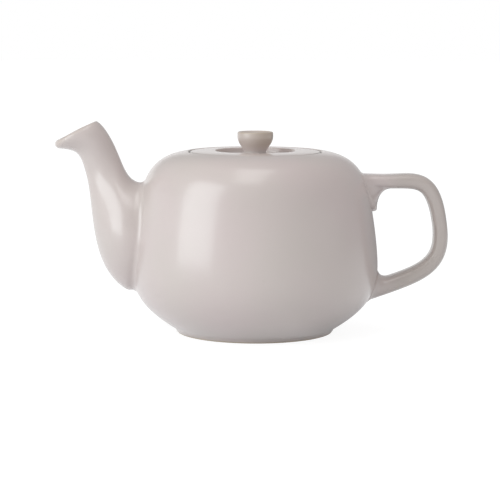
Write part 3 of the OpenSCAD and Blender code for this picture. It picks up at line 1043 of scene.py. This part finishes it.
@dataclass
class Spout:
    """The hollow spout, lofted between a lower and an upper line that each bend at the neck."""

    body: Body
    reach: float = 48.4
    lip_rise: float = 1.5
    mouth_length: float = 29.3
    mouth_width: float = 24.0
    mouth_tilt: float = 35.0
    neck_out: float = 19.5
    neck_drop: float = 6.5
    neck_length: float = 25.1
    neck_width: float = 20.0
    neck_tilt: float = 43.3
    root_low: float = 26.0
    root_drop: float = 19.8
    root_stand: Pair = (5.8, 3.4)
    root_width: float = 54.0
    wall: float = 3.4
    lip_round: float = 2.8
    neck_share: float = 0.62
    swell: float = 0.93
    under_angles: Triple = (150, 104.7, 174.3)
    under_pulls: Pulls = ((0.372, 0.273), (0.635, 0.5))
    upper_angles: Triple = (167.5, 114.2, 150)
    upper_pulls: Pulls = ((0.311, 0.463), (0.25, 0.27))
    root: Fillet = Fillet((2.6, 2.6, 3), (2.2, 2.4, 2.6))
    # The lip's thickness and stand above, beside and below, as shares of its rounding.
    lip_thick: Triple = (0.55, 0.75, 1.0)
    lip_stand: Triple = (0.55, 1.1, 1.0)
    # Shares where the plain section starts outside and in the bore, and where the bore meets
    # the lip.
    plain_start: float = 0.07
    bore_start: float = 0.05
    bore_end: float = 0.93
    swell_rings: int = 40
    neck_rings: int = 22
    lip_rings: int = 13
    bore_rings: int = 34
    points: int = 88

    def __post_init__(self) -> None:
        """Works out the two lines."""
        b = self.body
        low_z, high_z = self.root_low, b.rim_height - self.root_drop
        root_low = np.array([-float(b.surface(low_z)) - self.root_stand[0], low_z])
        root_high = np.array([-float(b.surface(high_z)) - self.root_stand[1], high_z])
        lip_low = np.array([-b.radius - self.reach + self.lip_round, b.rim_height + self.lip_rise])
        lip_high = lip_low + self.mouth_length * polar(self.mouth_tilt)
        middle = np.array([-b.radius - self.neck_out, b.rim_height - self.neck_drop])
        half = self.neck_length / 2 * polar(self.neck_tilt)
        lower, upper = (root_low, middle - half, lip_low), (root_high, middle + half, lip_high)
        self.under = two_bends(lower, self.under_angles, self.under_pulls)
        self.upper = two_bends(upper, self.upper_angles, self.upper_pulls)
        self.angles = round_angles(self.points)

    def _along(self, lines: tuple[Bend, Bend], t: Array) -> Array:
        """Points of a pair of curves.

        Args:
            lines: The curves up to the neck and on to the mouth.
            t: Shares of the way from the root to the mouth.

        Returns:
            The points, in the plane of the spout.
        """
        n = self.neck_share
        lower = lines[0].at(np.clip(t / n, 0, 1))
        upper = lines[1].at(np.clip((t - n) / (1 - n), 0, 1))
        return np.where((t < n)[..., None], lower, upper)

    def _lines(self, t: Array) -> tuple[Array, Array]:
        """Points of the lower and the upper line at the shares t."""
        t = np.maximum(t, 0)
        return self._along(self.under, t), self._along(self.upper, t)

    def _half_width(self, t: Array) -> Array:
        """Half of the spout's width.

        Args:
            t: Shares of the way from the root to the mouth.

        Returns:
            Half the width at each.
        """
        n = self.neck_share
        lower = mix(self.root_width, self.neck_width, ease((np.clip(t, 0, n) / n) ** self.swell))
        upper = mix(self.neck_width, self.mouth_width, ease(np.clip((t - n) / (1 - n), 0, 1)))
        return np.where(t < n, lower, upper) / 2

    def at(self, t: Any, a: Array) -> Array:
        """Points of the section.

        Args:
            t: Shares of the way to the mouth. Below 0 the root's section runs on level.
            a: Angles around the section, 0 at the top.

        Returns:
            The points.
        """
        t = shares(t, a)
        low, high = self._lines(t)
        middle, span = (low + high) / 2, high - low
        up = np.cos(a) / 2
        side = -self._half_width(t) * np.sin(a)
        slide = np.maximum(0, -t) * self.body.radius
        x = middle[..., 0] + span[..., 0] * up + slide
        return np.stack([x, side, middle[..., 1] + span[..., 1] * up], -1)

    def _directions(self, t: Any, a: Array) -> tuple[Array, Array]:
        """Directions on the surface, from points a little to each side.

        Args:
            t: Shares of the way to the mouth.
            a: Angles around the section.

        Returns:
            Unit directions square out of the clay and on towards the mouth.
        """
        t = shares(t, a)
        turn, step = 0.03, 0.004
        across = unit(self.at(t, a + turn) - self.at(t, a - turn))
        out = unit(np.cross(self.at(np.minimum(1, t + step), a) - self.at(t - step, a), across))
        return out, np.cross(across, out)

    def inside(self, t: Any, a: Array) -> Array:
        """Points of the bore."""
        return self.at(t, a) - self.wall * self._directions(t, a)[0]

    def lip(self, a: Array, turn: float) -> Array:
        """Points of the full-round lip.

        Args:
            a: Angles around the section.
            turn: 0 on the outside, pi / 2 on the edge and pi on the inside.

        Returns:
            The points.
        """
        out, on = self._directions(1.0, a)
        thick, stand = (
            self.lip_round * Fillet.around(row, a)[:, None]
            for row in (self.lip_thick, self.lip_stand)
        )
        rim = self.at(1.0, a)
        return rim + (math.cos(turn) - 1) * thick * out + math.sin(turn) * stand * on

    def out(self, t: Any, a: Array) -> Array:
        """Outward directions of the section.

        Args:
            t: Shares of the way to the mouth.
            a: Angles around the section.

        Returns:
            Unit directions in the plane of the section.
        """
        t = shares(t, a)
        low, high = self._lines(t)
        span = high - low
        across = np.linalg.norm(span, axis=-1)
        axis = span / across[..., None]
        v = np.cos(a) / across
        side = -np.sin(a) / (2 * self._half_width(t))
        return unit(np.stack([axis[..., 0] * v, side, axis[..., 1] * v], -1))

    def rings(self) -> list[Array]:
        """Goes over the outside to the mouth and back down the bore.

        Returns:
            The rings, the first and the last on the body.
        """
        a, b = self.angles, self.body
        root = Root(b, self.at, self.out, self.root, self.plain_start)
        bore = Root(b, self.inside, self.out, self.root, self.bore_start)
        out = root.rings(a, steps=13, run=5)
        swell = np.linspace(self.plain_start, self.neck_share, self.swell_rings)
        neck = np.linspace(self.neck_share, 1, self.neck_rings)[1:]
        out += [self.at(t, a) for t in (*swell, *neck)]
        out += [self.lip(a, turn) for turn in np.linspace(0, math.pi, self.lip_rings)[1:]]
        out += [self.inside(t, a) for t in np.linspace(self.bore_end, 0, self.bore_rings)]
        level = np.zeros_like(a)
        end = bore.reach(a, level)
        return [*out, self.inside(end * 0.5, a), b.settle(self.inside(end, a), level)]


@dataclass
class Strap:
    """The strap handle, swept along a middle line of two curves that meet at the grip."""

    body: Body
    reach: float = 43.8
    drop: float = 18.5
    low: float = 28.8
    root_stand: Pair = (10.8, 5.4)
    thick_high: float = 8.6
    thick_turn: float = 0.9
    thick_grip: float = 9.0
    thick_low: float = 10.3
    width: float = 16.5
    root_width: float = 21.0
    grip_tilt: float = -81.8
    root_tilts: Pair = (-1.6, 198.9)
    line_pulls: Pulls = ((0.455, 0.73), (0.488, 0.523))
    grip_share: float = 0.6
    grip_bow: float = 0.5
    squareness: float = 0.68
    high_root: Fillet = Fillet((1, 5, 15.3), (0.3, 4, 17.4), (0.4, 0.5, 3.2))
    low_root: Fillet = Fillet((1, 5, 8.4), (0.3, 4, 7.2), (0.4, 0.5, 0.7))
    # Shares where the plain section starts and ends.
    plain: Pair = (0.12, 0.1)
    plain_rings: int = 72
    points: int = 64

    def __post_init__(self) -> None:
        """Works out the middle line."""
        b = self.body
        high_z = b.rim_height - self.drop
        high = np.array([float(b.surface(high_z)) + self.root_stand[0], high_z])
        low = np.array([float(b.surface(self.low)) + self.root_stand[1], self.low])
        grip_r = b.radius + self.reach - self.thick_grip / 2 - self.grip_bow
        grip = np.array([grip_r, mix(low[1], high[1], self.grip_share)])
        angles = (self.root_tilts[0], self.grip_tilt, self.root_tilts[1])
        self.line = two_bends((high, grip, low), angles, self.line_pulls)
        self.angles = round_angles(self.points)

    def _section(self, t: Array) -> tuple[Array, Array, Array, Array]:
        """Works out the section along the strap.

        Args:
            t: Shares of the way from the upper to the lower root.

        Returns:
            Middle, direction, thickness and half width at each.
        """
        s = np.clip(t, 0, 1)
        first = (s < 0.5)[..., None]
        k1, k2 = np.clip(2 * s, 0, 1), np.clip(2 * s - 1, 0, 1)
        middle = np.where(first, self.line[0].at(k1), self.line[1].at(k2))
        heading = np.where(first, self.line[0].direction(k1), self.line[1].direction(k2))
        turned = self.thick_turn * np.sin(math.pi * k1)
        upper = mix(self.thick_high, self.thick_grip, k1) + turned
        thick = np.where(s < 0.5, upper, mix(self.thick_grip, self.thick_low, k2))
        half = mix(self.width, self.root_width, np.abs(2 * s - 1) ** 3) / 2
        return middle, heading, thick, half

    def _squared(self, wave: Array) -> Array:
        """A sine or cosine drawn out towards a square section."""
        return np.sign(wave) * np.abs(wave) ** self.squareness

    def at(self, t: Any, a: Array) -> Array:
        """Points of the section.

        Args:
            t: Shares of the way from the upper to the lower root.
            a: Angles around the section, 0 on the outer face.

        Returns:
            The points.
        """
        t = shares(t, a)
        middle, heading, thick, half = self._section(t)
        past = (t - np.clip(t, 0, 1)) * self.body.radius
        lift = thick / 2 * self._squared(np.cos(a))
        x = middle[..., 0] + heading[..., 0] * past - heading[..., 1] * lift
        z = middle[..., 1] + heading[..., 1] * past + heading[..., 0] * lift
        return np.stack([x, half * self._squared(np.sin(a)), z], -1)

    def out(self, t: Any, a: Array) -> Array:
        """Outward directions of the section.

        Args:
            t: Shares of the way from the upper to the lower root.
            a: Angles around the section.

        Returns:
            Unit directions in the plane of the section.
        """
        _, heading, thick, half = self._section(shares(t, a))
        up = np.cos(a) / thick
        side = np.sin(a) / (2 * half)
        return unit(np.stack([-heading[..., 1] * up, side, heading[..., 0] * up], -1))

    def rings(self) -> list[Array]:
        """Goes from the upper root along the strap to the lower root.

        Returns:
            The rings, the first and the last on the body.
        """
        a, b = self.angles, self.body
        high = Root(b, self.at, self.out, self.high_root, self.plain[0])
        low = Root(
            b,
            lambda t, c: self.at(1 - t, c),
            lambda t, c: self.out(1 - t, c),
            self.low_root,
            self.plain[1],
        )
        along = np.linspace(self.plain[0], 1 - self.plain[1], self.plain_rings)
        out = high.rings(a, steps=14, run=6, edge_steps=5) + [self.at(t, a) for t in along]
        return out + low.rings(a, steps=10, run=5, edge_steps=4)[::-1]


@dataclass
class Pot:
    """The fired pot in one skin: body, spout with its bore, strap handle and strainer."""

    body: Body
    spout: Spout
    strap: Strap
    around: int = 224
    hole: float = 3.8
    hole_points: int = 28
    pitch: float = 6.4
    patch_width: float = 21.0
    patch_height: float = 36.0
    patch_middle: float = 0.44
    drill_depth: float = 15.5
    drill_inset: float = 4.75
    # A root's surroundings: spare cells of the grid on each side, and how clear of the root the
    # grid's points stay, as a share of the spacing of its rows.
    patch_spare: int = 2
    clear_share: float = 0.55

    def _flat(self, p: Array) -> Array:
        """Lays points of the outside flat.

        Args:
            p: The points.

        Returns:
            Their way round and their way down.
        """
        turn = np.arctan2(p[:, 1], p[:, 0])
        turn = np.where(turn < -math.pi / 2, turn + 2 * math.pi, turn)
        return np.stack([turn * self.body.radius, self.body.along(p[:, 2])], -1)

    def _patch(
        self, shell: Shell, grid: Array, outline: list[Array], keep_inner: bool
    ) -> set[tuple[int, int]]:
        """Cuts a limb's roots out of the outside and fills up to them.

        Args:
            shell: The mesh.
            grid: Point numbers of the outside by row and way round.
            outline: Point numbers of the root's rings. The first is the outermost.
            keep_inner: Whether the inside of the last ring is filled, as behind the spout.

        Returns:
            The cells of the grid that the patch stands for.
        """
        everything = np.array(shell.points)
        rings = [self._flat(everything[ids]) for ids in outline]
        flat = self._flat(everything[grid.ravel()]).reshape(*grid.shape, 2)
        lines = (flat[0, :, 0], flat[:, 0, 1])
        i0, j0 = (
            max(0, int(np.searchsorted(line, edge)) - 1 - self.patch_spare)
            for line, edge in zip(lines, rings[0].min(0), strict=True)
        )
        i1, j1 = (
            min(len(line) - 1, int(np.searchsorted(line, edge)) + self.patch_spare)
            for line, edge in zip(lines, rings[0].max(0), strict=True)
        )
        block = grid[j0 : j1 + 1, i0 : i1 + 1]
        spots = flat[j0 : j1 + 1, i0 : i1 + 1].reshape(-1, 2)
        rim = np.ones(block.shape, bool)
        rim[1:-1, 1:-1] = False
        clear = np.ones(len(spots), bool)
        for ring in rings:
            clear &= nearest(ring, spots) > self.clear_share * self.body.row_spacing
        wanted = ~inside_polygon(rings[0], spots)
        if keep_inner:
            wanted |= inside_polygon(rings[-1], spots)
        use = rim.ravel() | (clear & wanted)
        numbers = [int(k) for k in block.ravel()[use]]
        coordinates = [Vector(s) for s in spots[use]]
        order = {k: c for c, k in enumerate(numbers)}
        loop = [*block[0, :-1], *block[:-1, -1], *block[-1, :0:-1], *block[:0:-1, 0]]
        edges = [(order[a], order[b]) for a, b in zip(loop, loop[1:] + loop[:1], strict=True)]
        for ids, ring in zip(outline, rings, strict=True):
            first, count = len(coordinates), len(ring)
            coordinates += [Vector(s) for s in ring]
            numbers += [int(k) for k in ids]
            edges += [(first + k, first + (k + 1) % count) for k in range(count)]
        filling = delaunay_2d_cdt(coordinates, edges, [], 0, SAME_SPOT, True)
        faces, origin = filling[2], filling[3]
        places = np.array([coordinates[o[0]] for o in origin])
        for face in faces:
            middle = places[list(face)].mean(0)[None]
            solid = not inside_polygon(rings[0], middle)[0]
            if solid or (keep_inner and inside_polygon(rings[-1], middle)[0]):
                shell.faces.append(tuple(numbers[origin[v][0]] for v in face))
        return {(j, i) for j in range(j0, j1) for i in range(i0, i1)}

    def skin(self) -> bpy.types.Mesh:
        """The closed skin of body, spout and handle.

        Returns:
            The mesh in metres, with its faces outwards.
        """
        shell = Shell()
        turn = -math.pi / 2 + 2 * math.pi * np.arange(self.around) / self.around
        outer, first, last = self.body.outer_rows()
        out_ids = shell.turned(outer, turn)
        in_ids = shell.turned(self.body.inner_rows(), turn)
        spout = shell.loft(self.spout.rings())
        strap = shell.loft(self.strap.rings())
        plain = out_ids[first : last + 1]
        cut = self._patch(shell, plain, [spout[0], spout[-1]], True)
        cut |= self._patch(shell, plain, [strap[0]], False)
        cut |= self._patch(shell, plain, [strap[-1]], False)
        for j, (a, b) in enumerate(pairwise(out_ids)):
            shell.bridge(a, b, {i for row, i in cut if row + first == j})
        for a, b in pairwise(in_ids):
            shell.bridge(a, b)
        shell.bridge(in_ids[-1], out_ids[0])
        shell.fan(out_ids[-1], np.array([0, 0, self.body.foot_hollow]))
        shell.fan(in_ids[0], np.array([0, 0, self.body.foot_hollow + self.body.floor]))
        return shell.mesh("pot_skin")

    def strainer(self) -> ModifierTree:
        """Builds the tree that pierces staggered holes through the wall behind the spout.

        Returns:
            The tree. Its holes fill an ellipse about its place.
        """
        tree = ModifierTree(
            "strainer",
            {
                "Float": ["hole_radius", "pitch", "patch_width", "patch_height", "depth"],
                "Int": ["rows", "columns"],
                "Vector": ["place"],
            },
        )
        g = tree.graph
        pitch, rows, columns = (tree.value(name) for name in ("pitch", "rows", "columns"))
        sizes = {
            "Size X": pitch * (columns - 1),
            "Size Y": pitch * ROW_SHARE * (rows - 1),
            "Vertices X": columns,
            "Vertices Y": rows,
        }
        grid = g.node("GeometryNodeMeshGrid", {}, sizes)
        row = (g.number("GeometryNodeInputIndex") + 0.5) % rows
        odd = (row.floor() % 2.0).above(0.5)
        grid_x, up, _ = g.axes(g.node("GeometryNodeInputPosition").outputs[0])
        across = grid_x + odd * pitch * 0.5
        far_x = across / tree.value("patch_width") * 2.0
        far_y = up / tree.value("patch_height") * 2.0
        marked = g.node(
            "GeometryNodeStoreNamedAttribute",
            {"data_type": "FLOAT", "domain": "POINT"},
            {
                "Geometry": grid.outputs["Mesh"],
                "Name": "outside",
                "Value": (far_x * far_x + far_y * far_y).above(JUST_OVER_ONE),
            },
        )
        spot = g.node("ShaderNodeCombineXYZ", {}, {"Y": across, "Z": up}).outputs[0]
        terms = {0: spot, 1: tree.inlet.outputs["place"]}
        moved = g.node("ShaderNodeVectorMath", {"operation": "ADD"}, terms).outputs[0]
        placed = g.node(
            "GeometryNodeSetPosition", {}, {"Geometry": marked.outputs[0], "Position": moved}
        )
        kind = {"data_type": "FLOAT"}
        mark = g.number("GeometryNodeInputNamedAttribute", kind, {"Name": "outside"})
        points = g.node(
            "GeometryNodeDeleteGeometry",
            {"domain": "POINT"},
            {"Geometry": placed.outputs[0], "Selection": mark.above(0.5)},
        )
        drills = g.node(
            "GeometryNodeInstanceOnPoints",
            {},
            {
                "Points": points.outputs[0],
                "Instance": tree.drill(self.hole_points, "hole_radius", "depth"),
                "Rotation": (0, math.pi / 2, 0),
            },
        )
        real = g.node("GeometryNodeRealizeInstances", {}, {"Geometry": drills.outputs[0]})
        tree.pierce(tree.inlet.outputs["Geometry"], real.outputs[0])
        return tree

    def build(self, glaze: bpy.types.Material) -> bpy.types.Object:
        """Builds the pot and dresses it.

        Args:
            glaze: The finish.

        Returns:
            The finished piece.
        """
        root_top = self.body.rim_height - self.spout.root_drop
        middle = mix(self.spout.root_low, root_top, self.patch_middle)
        mesh = self.strainer().applied(
            linked("pot_base", self.skin()),
            material=glaze,
            hole_radius=self.hole / 2 * MM,
            pitch=self.pitch * MM,
            patch_width=self.patch_width * MM,
            patch_height=self.patch_height * MM,
            rows=2 * int(self.patch_height / 2 / (self.pitch * ROW_SHARE)) + 1,
            columns=2 * math.ceil(self.patch_width / 2 / self.pitch) + 1,
            depth=self.drill_depth * MM,
            place=(-(self.body.radius - self.drill_inset) * MM, 0.0, middle * MM),
        )
        return dressed("glazed_pot", mesh, glaze)


# The lid


@dataclass
class Lid:
    """The lid: dished knob, neck, sunken well, ring, edge, collar and hollow underside."""

    body: Body
    clearance: float = 0.6
    rise: float = 0.6
    well_diameter: float = 50.0
    well_drop: float = 3.4
    well_thickness: float = 4.5
    well_round: float = 1.2
    ring_round: float = 0.8
    collar_drop: float = 8.0
    collar_clearance: float = 0.8
    collar_thickness: float = 2.9
    vent: float = 3.0
    vent_points: int = 32
    vent_share: float = 0.42
    vent_spare: float = 2.0
    knob_diameter: float = 22.4
    knob_round: float = 0.9
    knob_rise: float = 12.3
    knob_dish: float = 1.3
    knob_side: float = 3.0
    neck_diameter: float = 13.6
    neck_height: float = 2.2
    neck_spread: float = 1.8
    dish_pull: Pair = (0.45, 0.3)
    cup_pull: Pair = (0.42, 0.2)
    stem_pull: Pair = (0.4, 0.4)
    # The dish's end in the knob's rim: how far in, in roundings, how far down and how steep.
    dish_inset: float = 1.6
    dish_drop: float = 0.3
    dish_tilt: float = 38
    # The crown between ring and edge: its share of the way and how much of the rise it loses.
    crown_share: float = 0.55
    crown_drop: float = 0.2
    # The underside inside the collar: its slopes, and its levels below the seat and at the well.
    collar_slope: float = 1.6
    hollow_slope: float = 2.0
    hollow_drop: float = 1.0
    hollow_rise: float = 0.8
    under_rounds: tuple[float, ...] = (0.5, 0.4, 1.0, 1.0, 1.0, 1.0, 1.5)
    row_spacing: float = 3.0
    around: int = 192

    def _underside(self, lid_r: float, well_r: float, edge: Array, under_z: float) -> Array:
        """The section from the lid's edge over seat and collar to the middle of the underside.

        Args:
            lid_r: Radius of the lid.
            well_r: Radius of its well.
            edge: The rounded edge's last point.
            under_z: Height of the underside's middle.

        Returns:
            The section's points.
        """
        b = self.body
        seat_z = b.rim_height - b.seat_drop
        collar_z = seat_z - self.collar_drop
        collar_r = b.mouth_radius - b.seat_width - self.collar_clearance
        inner_r = collar_r - self.collar_thickness
        hollow_r = inner_r - self.collar_slope
        return rounded(
            [
                edge,
                [lid_r, seat_z],
                [collar_r, seat_z],
                [collar_r, collar_z],
                [inner_r, collar_z],
                [hollow_r, seat_z - self.hollow_drop],
                [hollow_r - self.hollow_slope, under_z + self.hollow_rise],
                [well_r - self.hollow_slope, under_z],
                [NEAR_AXIS, under_z],
            ],
            self.under_rounds,
        )

    def section(self) -> Array:
        """The lid in section, from the middle of the knob down to the middle of the underside.

        Returns:
            Its points in radius and height.
        """
        b = self.body
        lid_r = b.mouth_radius - self.clearance
        well_r, knob_r = self.well_diameter / 2, self.knob_diameter / 2
        neck_r = self.neck_diameter / 2
        top, knob_z = b.rim_height + self.rise, b.rim_height + self.knob_rise
        well_z = top - self.well_drop
        neck = np.array([neck_r, well_z + self.neck_height])
        dish_rim = (knob_r - self.dish_inset * self.knob_round, knob_z - self.dish_drop)
        knob_middle = (knob_r - self.knob_round, knob_z - self.knob_round)
        edge_middle = (lid_r - b.lip_round, b.rim_height - b.lip_round)
        well_middle = (well_r - self.well_round, well_z + self.well_round)
        ring_middle = (well_r + self.ring_round, top - self.ring_round)
        dish, cup, stem = (
            Bend(np.array(start), first, np.array(end), last, pull)
            for start, first, end, last, pull in (
                ((NEAR_AXIS, knob_z - self.knob_dish), 0, dish_rim, self.dish_tilt, self.dish_pull),
                ((knob_r, knob_z - self.knob_side), -90, neck, -90, self.cup_pull),
                (neck, -90, (neck_r + self.neck_spread, well_z), 0, self.stem_pull),
            )
        )
        edge = arc(edge_middle, b.lip_round, 86, 0, 7)
        section = np.vstack(
            [
                dish.at(np.linspace(0, 1, 14))[:-1],
                arc(knob_middle, self.knob_round, 128, 0, 9),
                cup.at(np.linspace(0, 1, 22)),
                stem.at(np.linspace(0, 1, 9))[1:],
                arc(well_middle, self.well_round, -90, 0, 6),
                arc(ring_middle, self.ring_round, 180, 90, 6),
                [[mix(well_r, lid_r, self.crown_share), top - self.crown_drop * self.rise]],
                edge,
                self._underside(lid_r, well_r, edge[-1], well_z - self.well_thickness)[1:],
            ]
        )
        section[0, 0] = section[-1, 0] = 0.0
        return filled(section, self.row_spacing)

    def lathe(self) -> ModifierTree:
        """Builds the tree that turns a section about the vertical axis and drills one hole.

        Returns:
            The tree. The section comes in as points in radius, 0 and height.
        """
        tree = ModifierTree(
            "lathe",
            {
                "Float": ["vent_radius", "vent_depth"],
                "Int": ["rows", "around"],
                "Vector": ["vent_place"],
            },
        )
        g = tree.graph
        rows, around = tree.value("rows"), tree.value("around")
        sizes = {"Vertices X": around + 1, "Vertices Y": rows}
        grid = g.node("GeometryNodeMeshGrid", {}, sizes)
        index = g.number("GeometryNodeInputIndex") + 0.5
        turn = (index / rows).floor() / around * (2 * math.pi)
        sample = g.node(
            "GeometryNodeSampleIndex",
            {"data_type": "FLOAT_VECTOR", "domain": "POINT"},
            {
                "Geometry": tree.inlet.outputs["Geometry"],
                "Value": g.node("GeometryNodeInputPosition").outputs[0],
                "Index": (index % rows).floor(),
            },
        )
        radius, _, height = g.axes(sample.outputs[0])
        spot = {"X": radius * turn.cosine(), "Y": radius * turn.sine(), "Z": height}
        moved = g.node("ShaderNodeCombineXYZ", {}, spot).outputs[0]
        placed = g.node(
            "GeometryNodeSetPosition", {}, {"Geometry": grid.outputs["Mesh"], "Position": moved}
        )
        merging = {"Geometry": placed.outputs[0], "Distance": SAME_POINT}
        closed = g.node("GeometryNodeMergeByDistance", {}, merging)
        drill = g.node(
            "GeometryNodeTransform",
            {},
            {
                "Geometry": tree.drill(self.vent_points, "vent_radius", "vent_depth"),
                "Translation": tree.inlet.outputs["vent_place"],
            },
        )
        tree.pierce(closed.outputs[0], drill.outputs[0])
        return tree

    def build(self, glaze: bpy.types.Material) -> bpy.types.Object:
        """Builds the lid and dresses it.

        Args:
            glaze: The finish.

        Returns:
            The finished piece.
        """
        section = self.section()
        line = bpy.data.meshes.new("lid_section")
        links = list(pairwise(range(len(section))))
        line.from_pydata([(r * MM, 0, z * MM) for r, z in section], links, [])
        vent_r = mix(self.knob_diameter, self.well_diameter, self.vent_share) / 2
        vent_z = self.body.rim_height + self.rise - self.well_drop - self.well_thickness / 2
        mesh = self.lathe().applied(
            linked("lid_base", line),
            material=glaze,
            rows=len(section),
            around=self.around,
            vent_radius=self.vent / 2 * MM,
            vent_place=(vent_r * MM, 0.0, vent_z * MM),
            vent_depth=(self.well_thickness + self.vent_spare) * MM,
        )
        return dressed("glazed_lid", mesh, glaze)


# Stage


@dataclass(frozen=True)
class SoftBox:
    """One soft rectangular lamp: its middle, the point it faces, width and height, and power."""

    name: str
    place: Triple
    aim: Triple
    size: Pair
    watts: float
    tint: Triple = (1, 1, 1)

    def light(self) -> bpy.types.Object:
        """Hangs the lamp.

        Returns:
            The lamp.
        """
        lamp = bpy.data.lights.new(self.name, "AREA")
        lamp.shape = "RECTANGLE"
        lamp.size, lamp.size_y = self.size
        lamp.energy = self.watts
        lamp.color = self.tint
        piece = linked(self.name, lamp)
        piece.location = self.place
        facing = Vector(self.aim) - Vector(self.place)
        piece.rotation_euler = facing.to_track_quat("-Z", "Y").to_euler()
        return piece


@dataclass(frozen=True)
class Surround:
    """An even world, white to the camera, that reflections see dimmer above a bright low wall.

    The wall fades towards the handle's side, most of all behind it.
    """

    level: float = 0.67
    white: float = 0.33
    wall: float = 0.6
    dip: float = 0.27
    wall_height: Pair = (0.3, 0.12)
    fade_side: Pair = (-0.1, 0.5)
    fade_depth: Pair = (-0.3, 0.3)
    fade_share: Pair = (0.35, 0.65)

    def make(self) -> bpy.types.World:
        """Builds the world.

        Returns:
            A world that reads the direction and the kind of ray.
        """
        world = bpy.data.worlds.new("surround")
        g = own_graph(world)
        path = g.node("ShaderNodeLightPath").outputs
        side, depth, height = g.axes(g.node("ShaderNodeTexCoord").outputs["Generated"])
        camera, glossy, through = (
            Value(g, path[f"Is {ray} Ray"]) for ray in ("Camera", "Glossy", "Transmission")
        )
        deeper = self.fade_share[0] + self.fade_share[1] * depth.ramp(*self.fade_depth)
        wall = height.ramp(*self.wall_height) * (1.0 - side.ramp(*self.fade_side) * deeper)
        strength = self.level + camera * self.white
        strength = strength + (glossy + through) * (wall * self.wall - self.dip)
        grey = g.blend(strength, (0, 0, 0, 1), (1, 1, 1, 1))
        sky = g.node("ShaderNodeBackground", {}, {"Color": grey, "Strength": 1.0})
        g.node("ShaderNodeOutputWorld", {}, {"Surface": sky.outputs[0]})
        return world


@dataclass(frozen=True)
class Studio:
    """Plain pale floor, two soft boxes in an even surround, and the camera."""

    half_floor: float = 6.0
    boxes: tuple[SoftBox, ...] = (
        SoftBox("left_box", (-1.07, -0.69, 0.62), (0, 0, 0.3), (0.89, 1.2), 9.5, (0.93, 1, 1.01)),
        SoftBox("top_box", (-0.06, -0.36, 1.35), (0, 0, 0.1), (0.5, 1.1), 3.3),
    )
    camera_place: Triple = (-0.0031, -1.2, 0.20385)
    camera_pitch: float = 7.241
    camera_roll: float = 0.165
    sensor: float = 36.0
    focal_pixels: float = 1915.2
    picture_pixels: int = 500
    clip_end: float = 50.0

    def floor(self) -> bpy.types.Object:
        """Lays a wide floor under the foot, with a paper finish.

        Returns:
            The floor.
        """
        h = self.half_floor
        mesh = bpy.data.meshes.new("floor")
        mesh.from_pydata([(-h, -h, 0), (h, -h, 0), (h, h, 0), (-h, h, 0)], [], [(0, 1, 2, 3)])
        mesh.materials.append(Backdrop().make())
        piece = linked("floor", mesh)
        return piece

    def lights(self) -> None:
        """Hangs the soft boxes and sets the surround."""
        for box in self.boxes:
            box.light()
        bpy.context.scene.world = Surround().make()

    def camera(self) -> bpy.types.Object:
        """Sets the camera in front of the near side, looking a little down.

        Returns:
            The camera.
        """
        data = bpy.data.cameras.new("camera")
        data.sensor_fit = "HORIZONTAL"
        data.sensor_width = self.sensor
        data.lens = self.sensor * self.focal_pixels / self.picture_pixels
        data.clip_end = self.clip_end
        piece = linked("camera", data)
        tilt = Matrix.Rotation(math.radians(90) - math.radians(self.camera_pitch), 4, "X")
        roll = Matrix.Rotation(math.radians(self.camera_roll), 4, "Z")
        piece.matrix_world = Matrix.Translation(self.camera_place) @ tilt @ roll
        bpy.context.scene.camera = piece
        return piece


def main() -> None:
    studio = Studio()
    studio.camera()
    studio.lights()
    studio.floor()
    bpy.context.scene.view_settings.view_transform = "Standard"
    glaze = Glaze().make()
    body = Body()
    makers: dict[str, Pot | Lid] = {"pot": Pot(body, Spout(body), Strap(body)), "lid": Lid(body)}
    for node, maker in makers.items():
        piece = maker.build(glaze)
        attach(piece, "root")
        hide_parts(node)
        log.info("%s: %d faces", piece.name, len(piece.data.polygons))


if __name__ == "__main__":
    main()
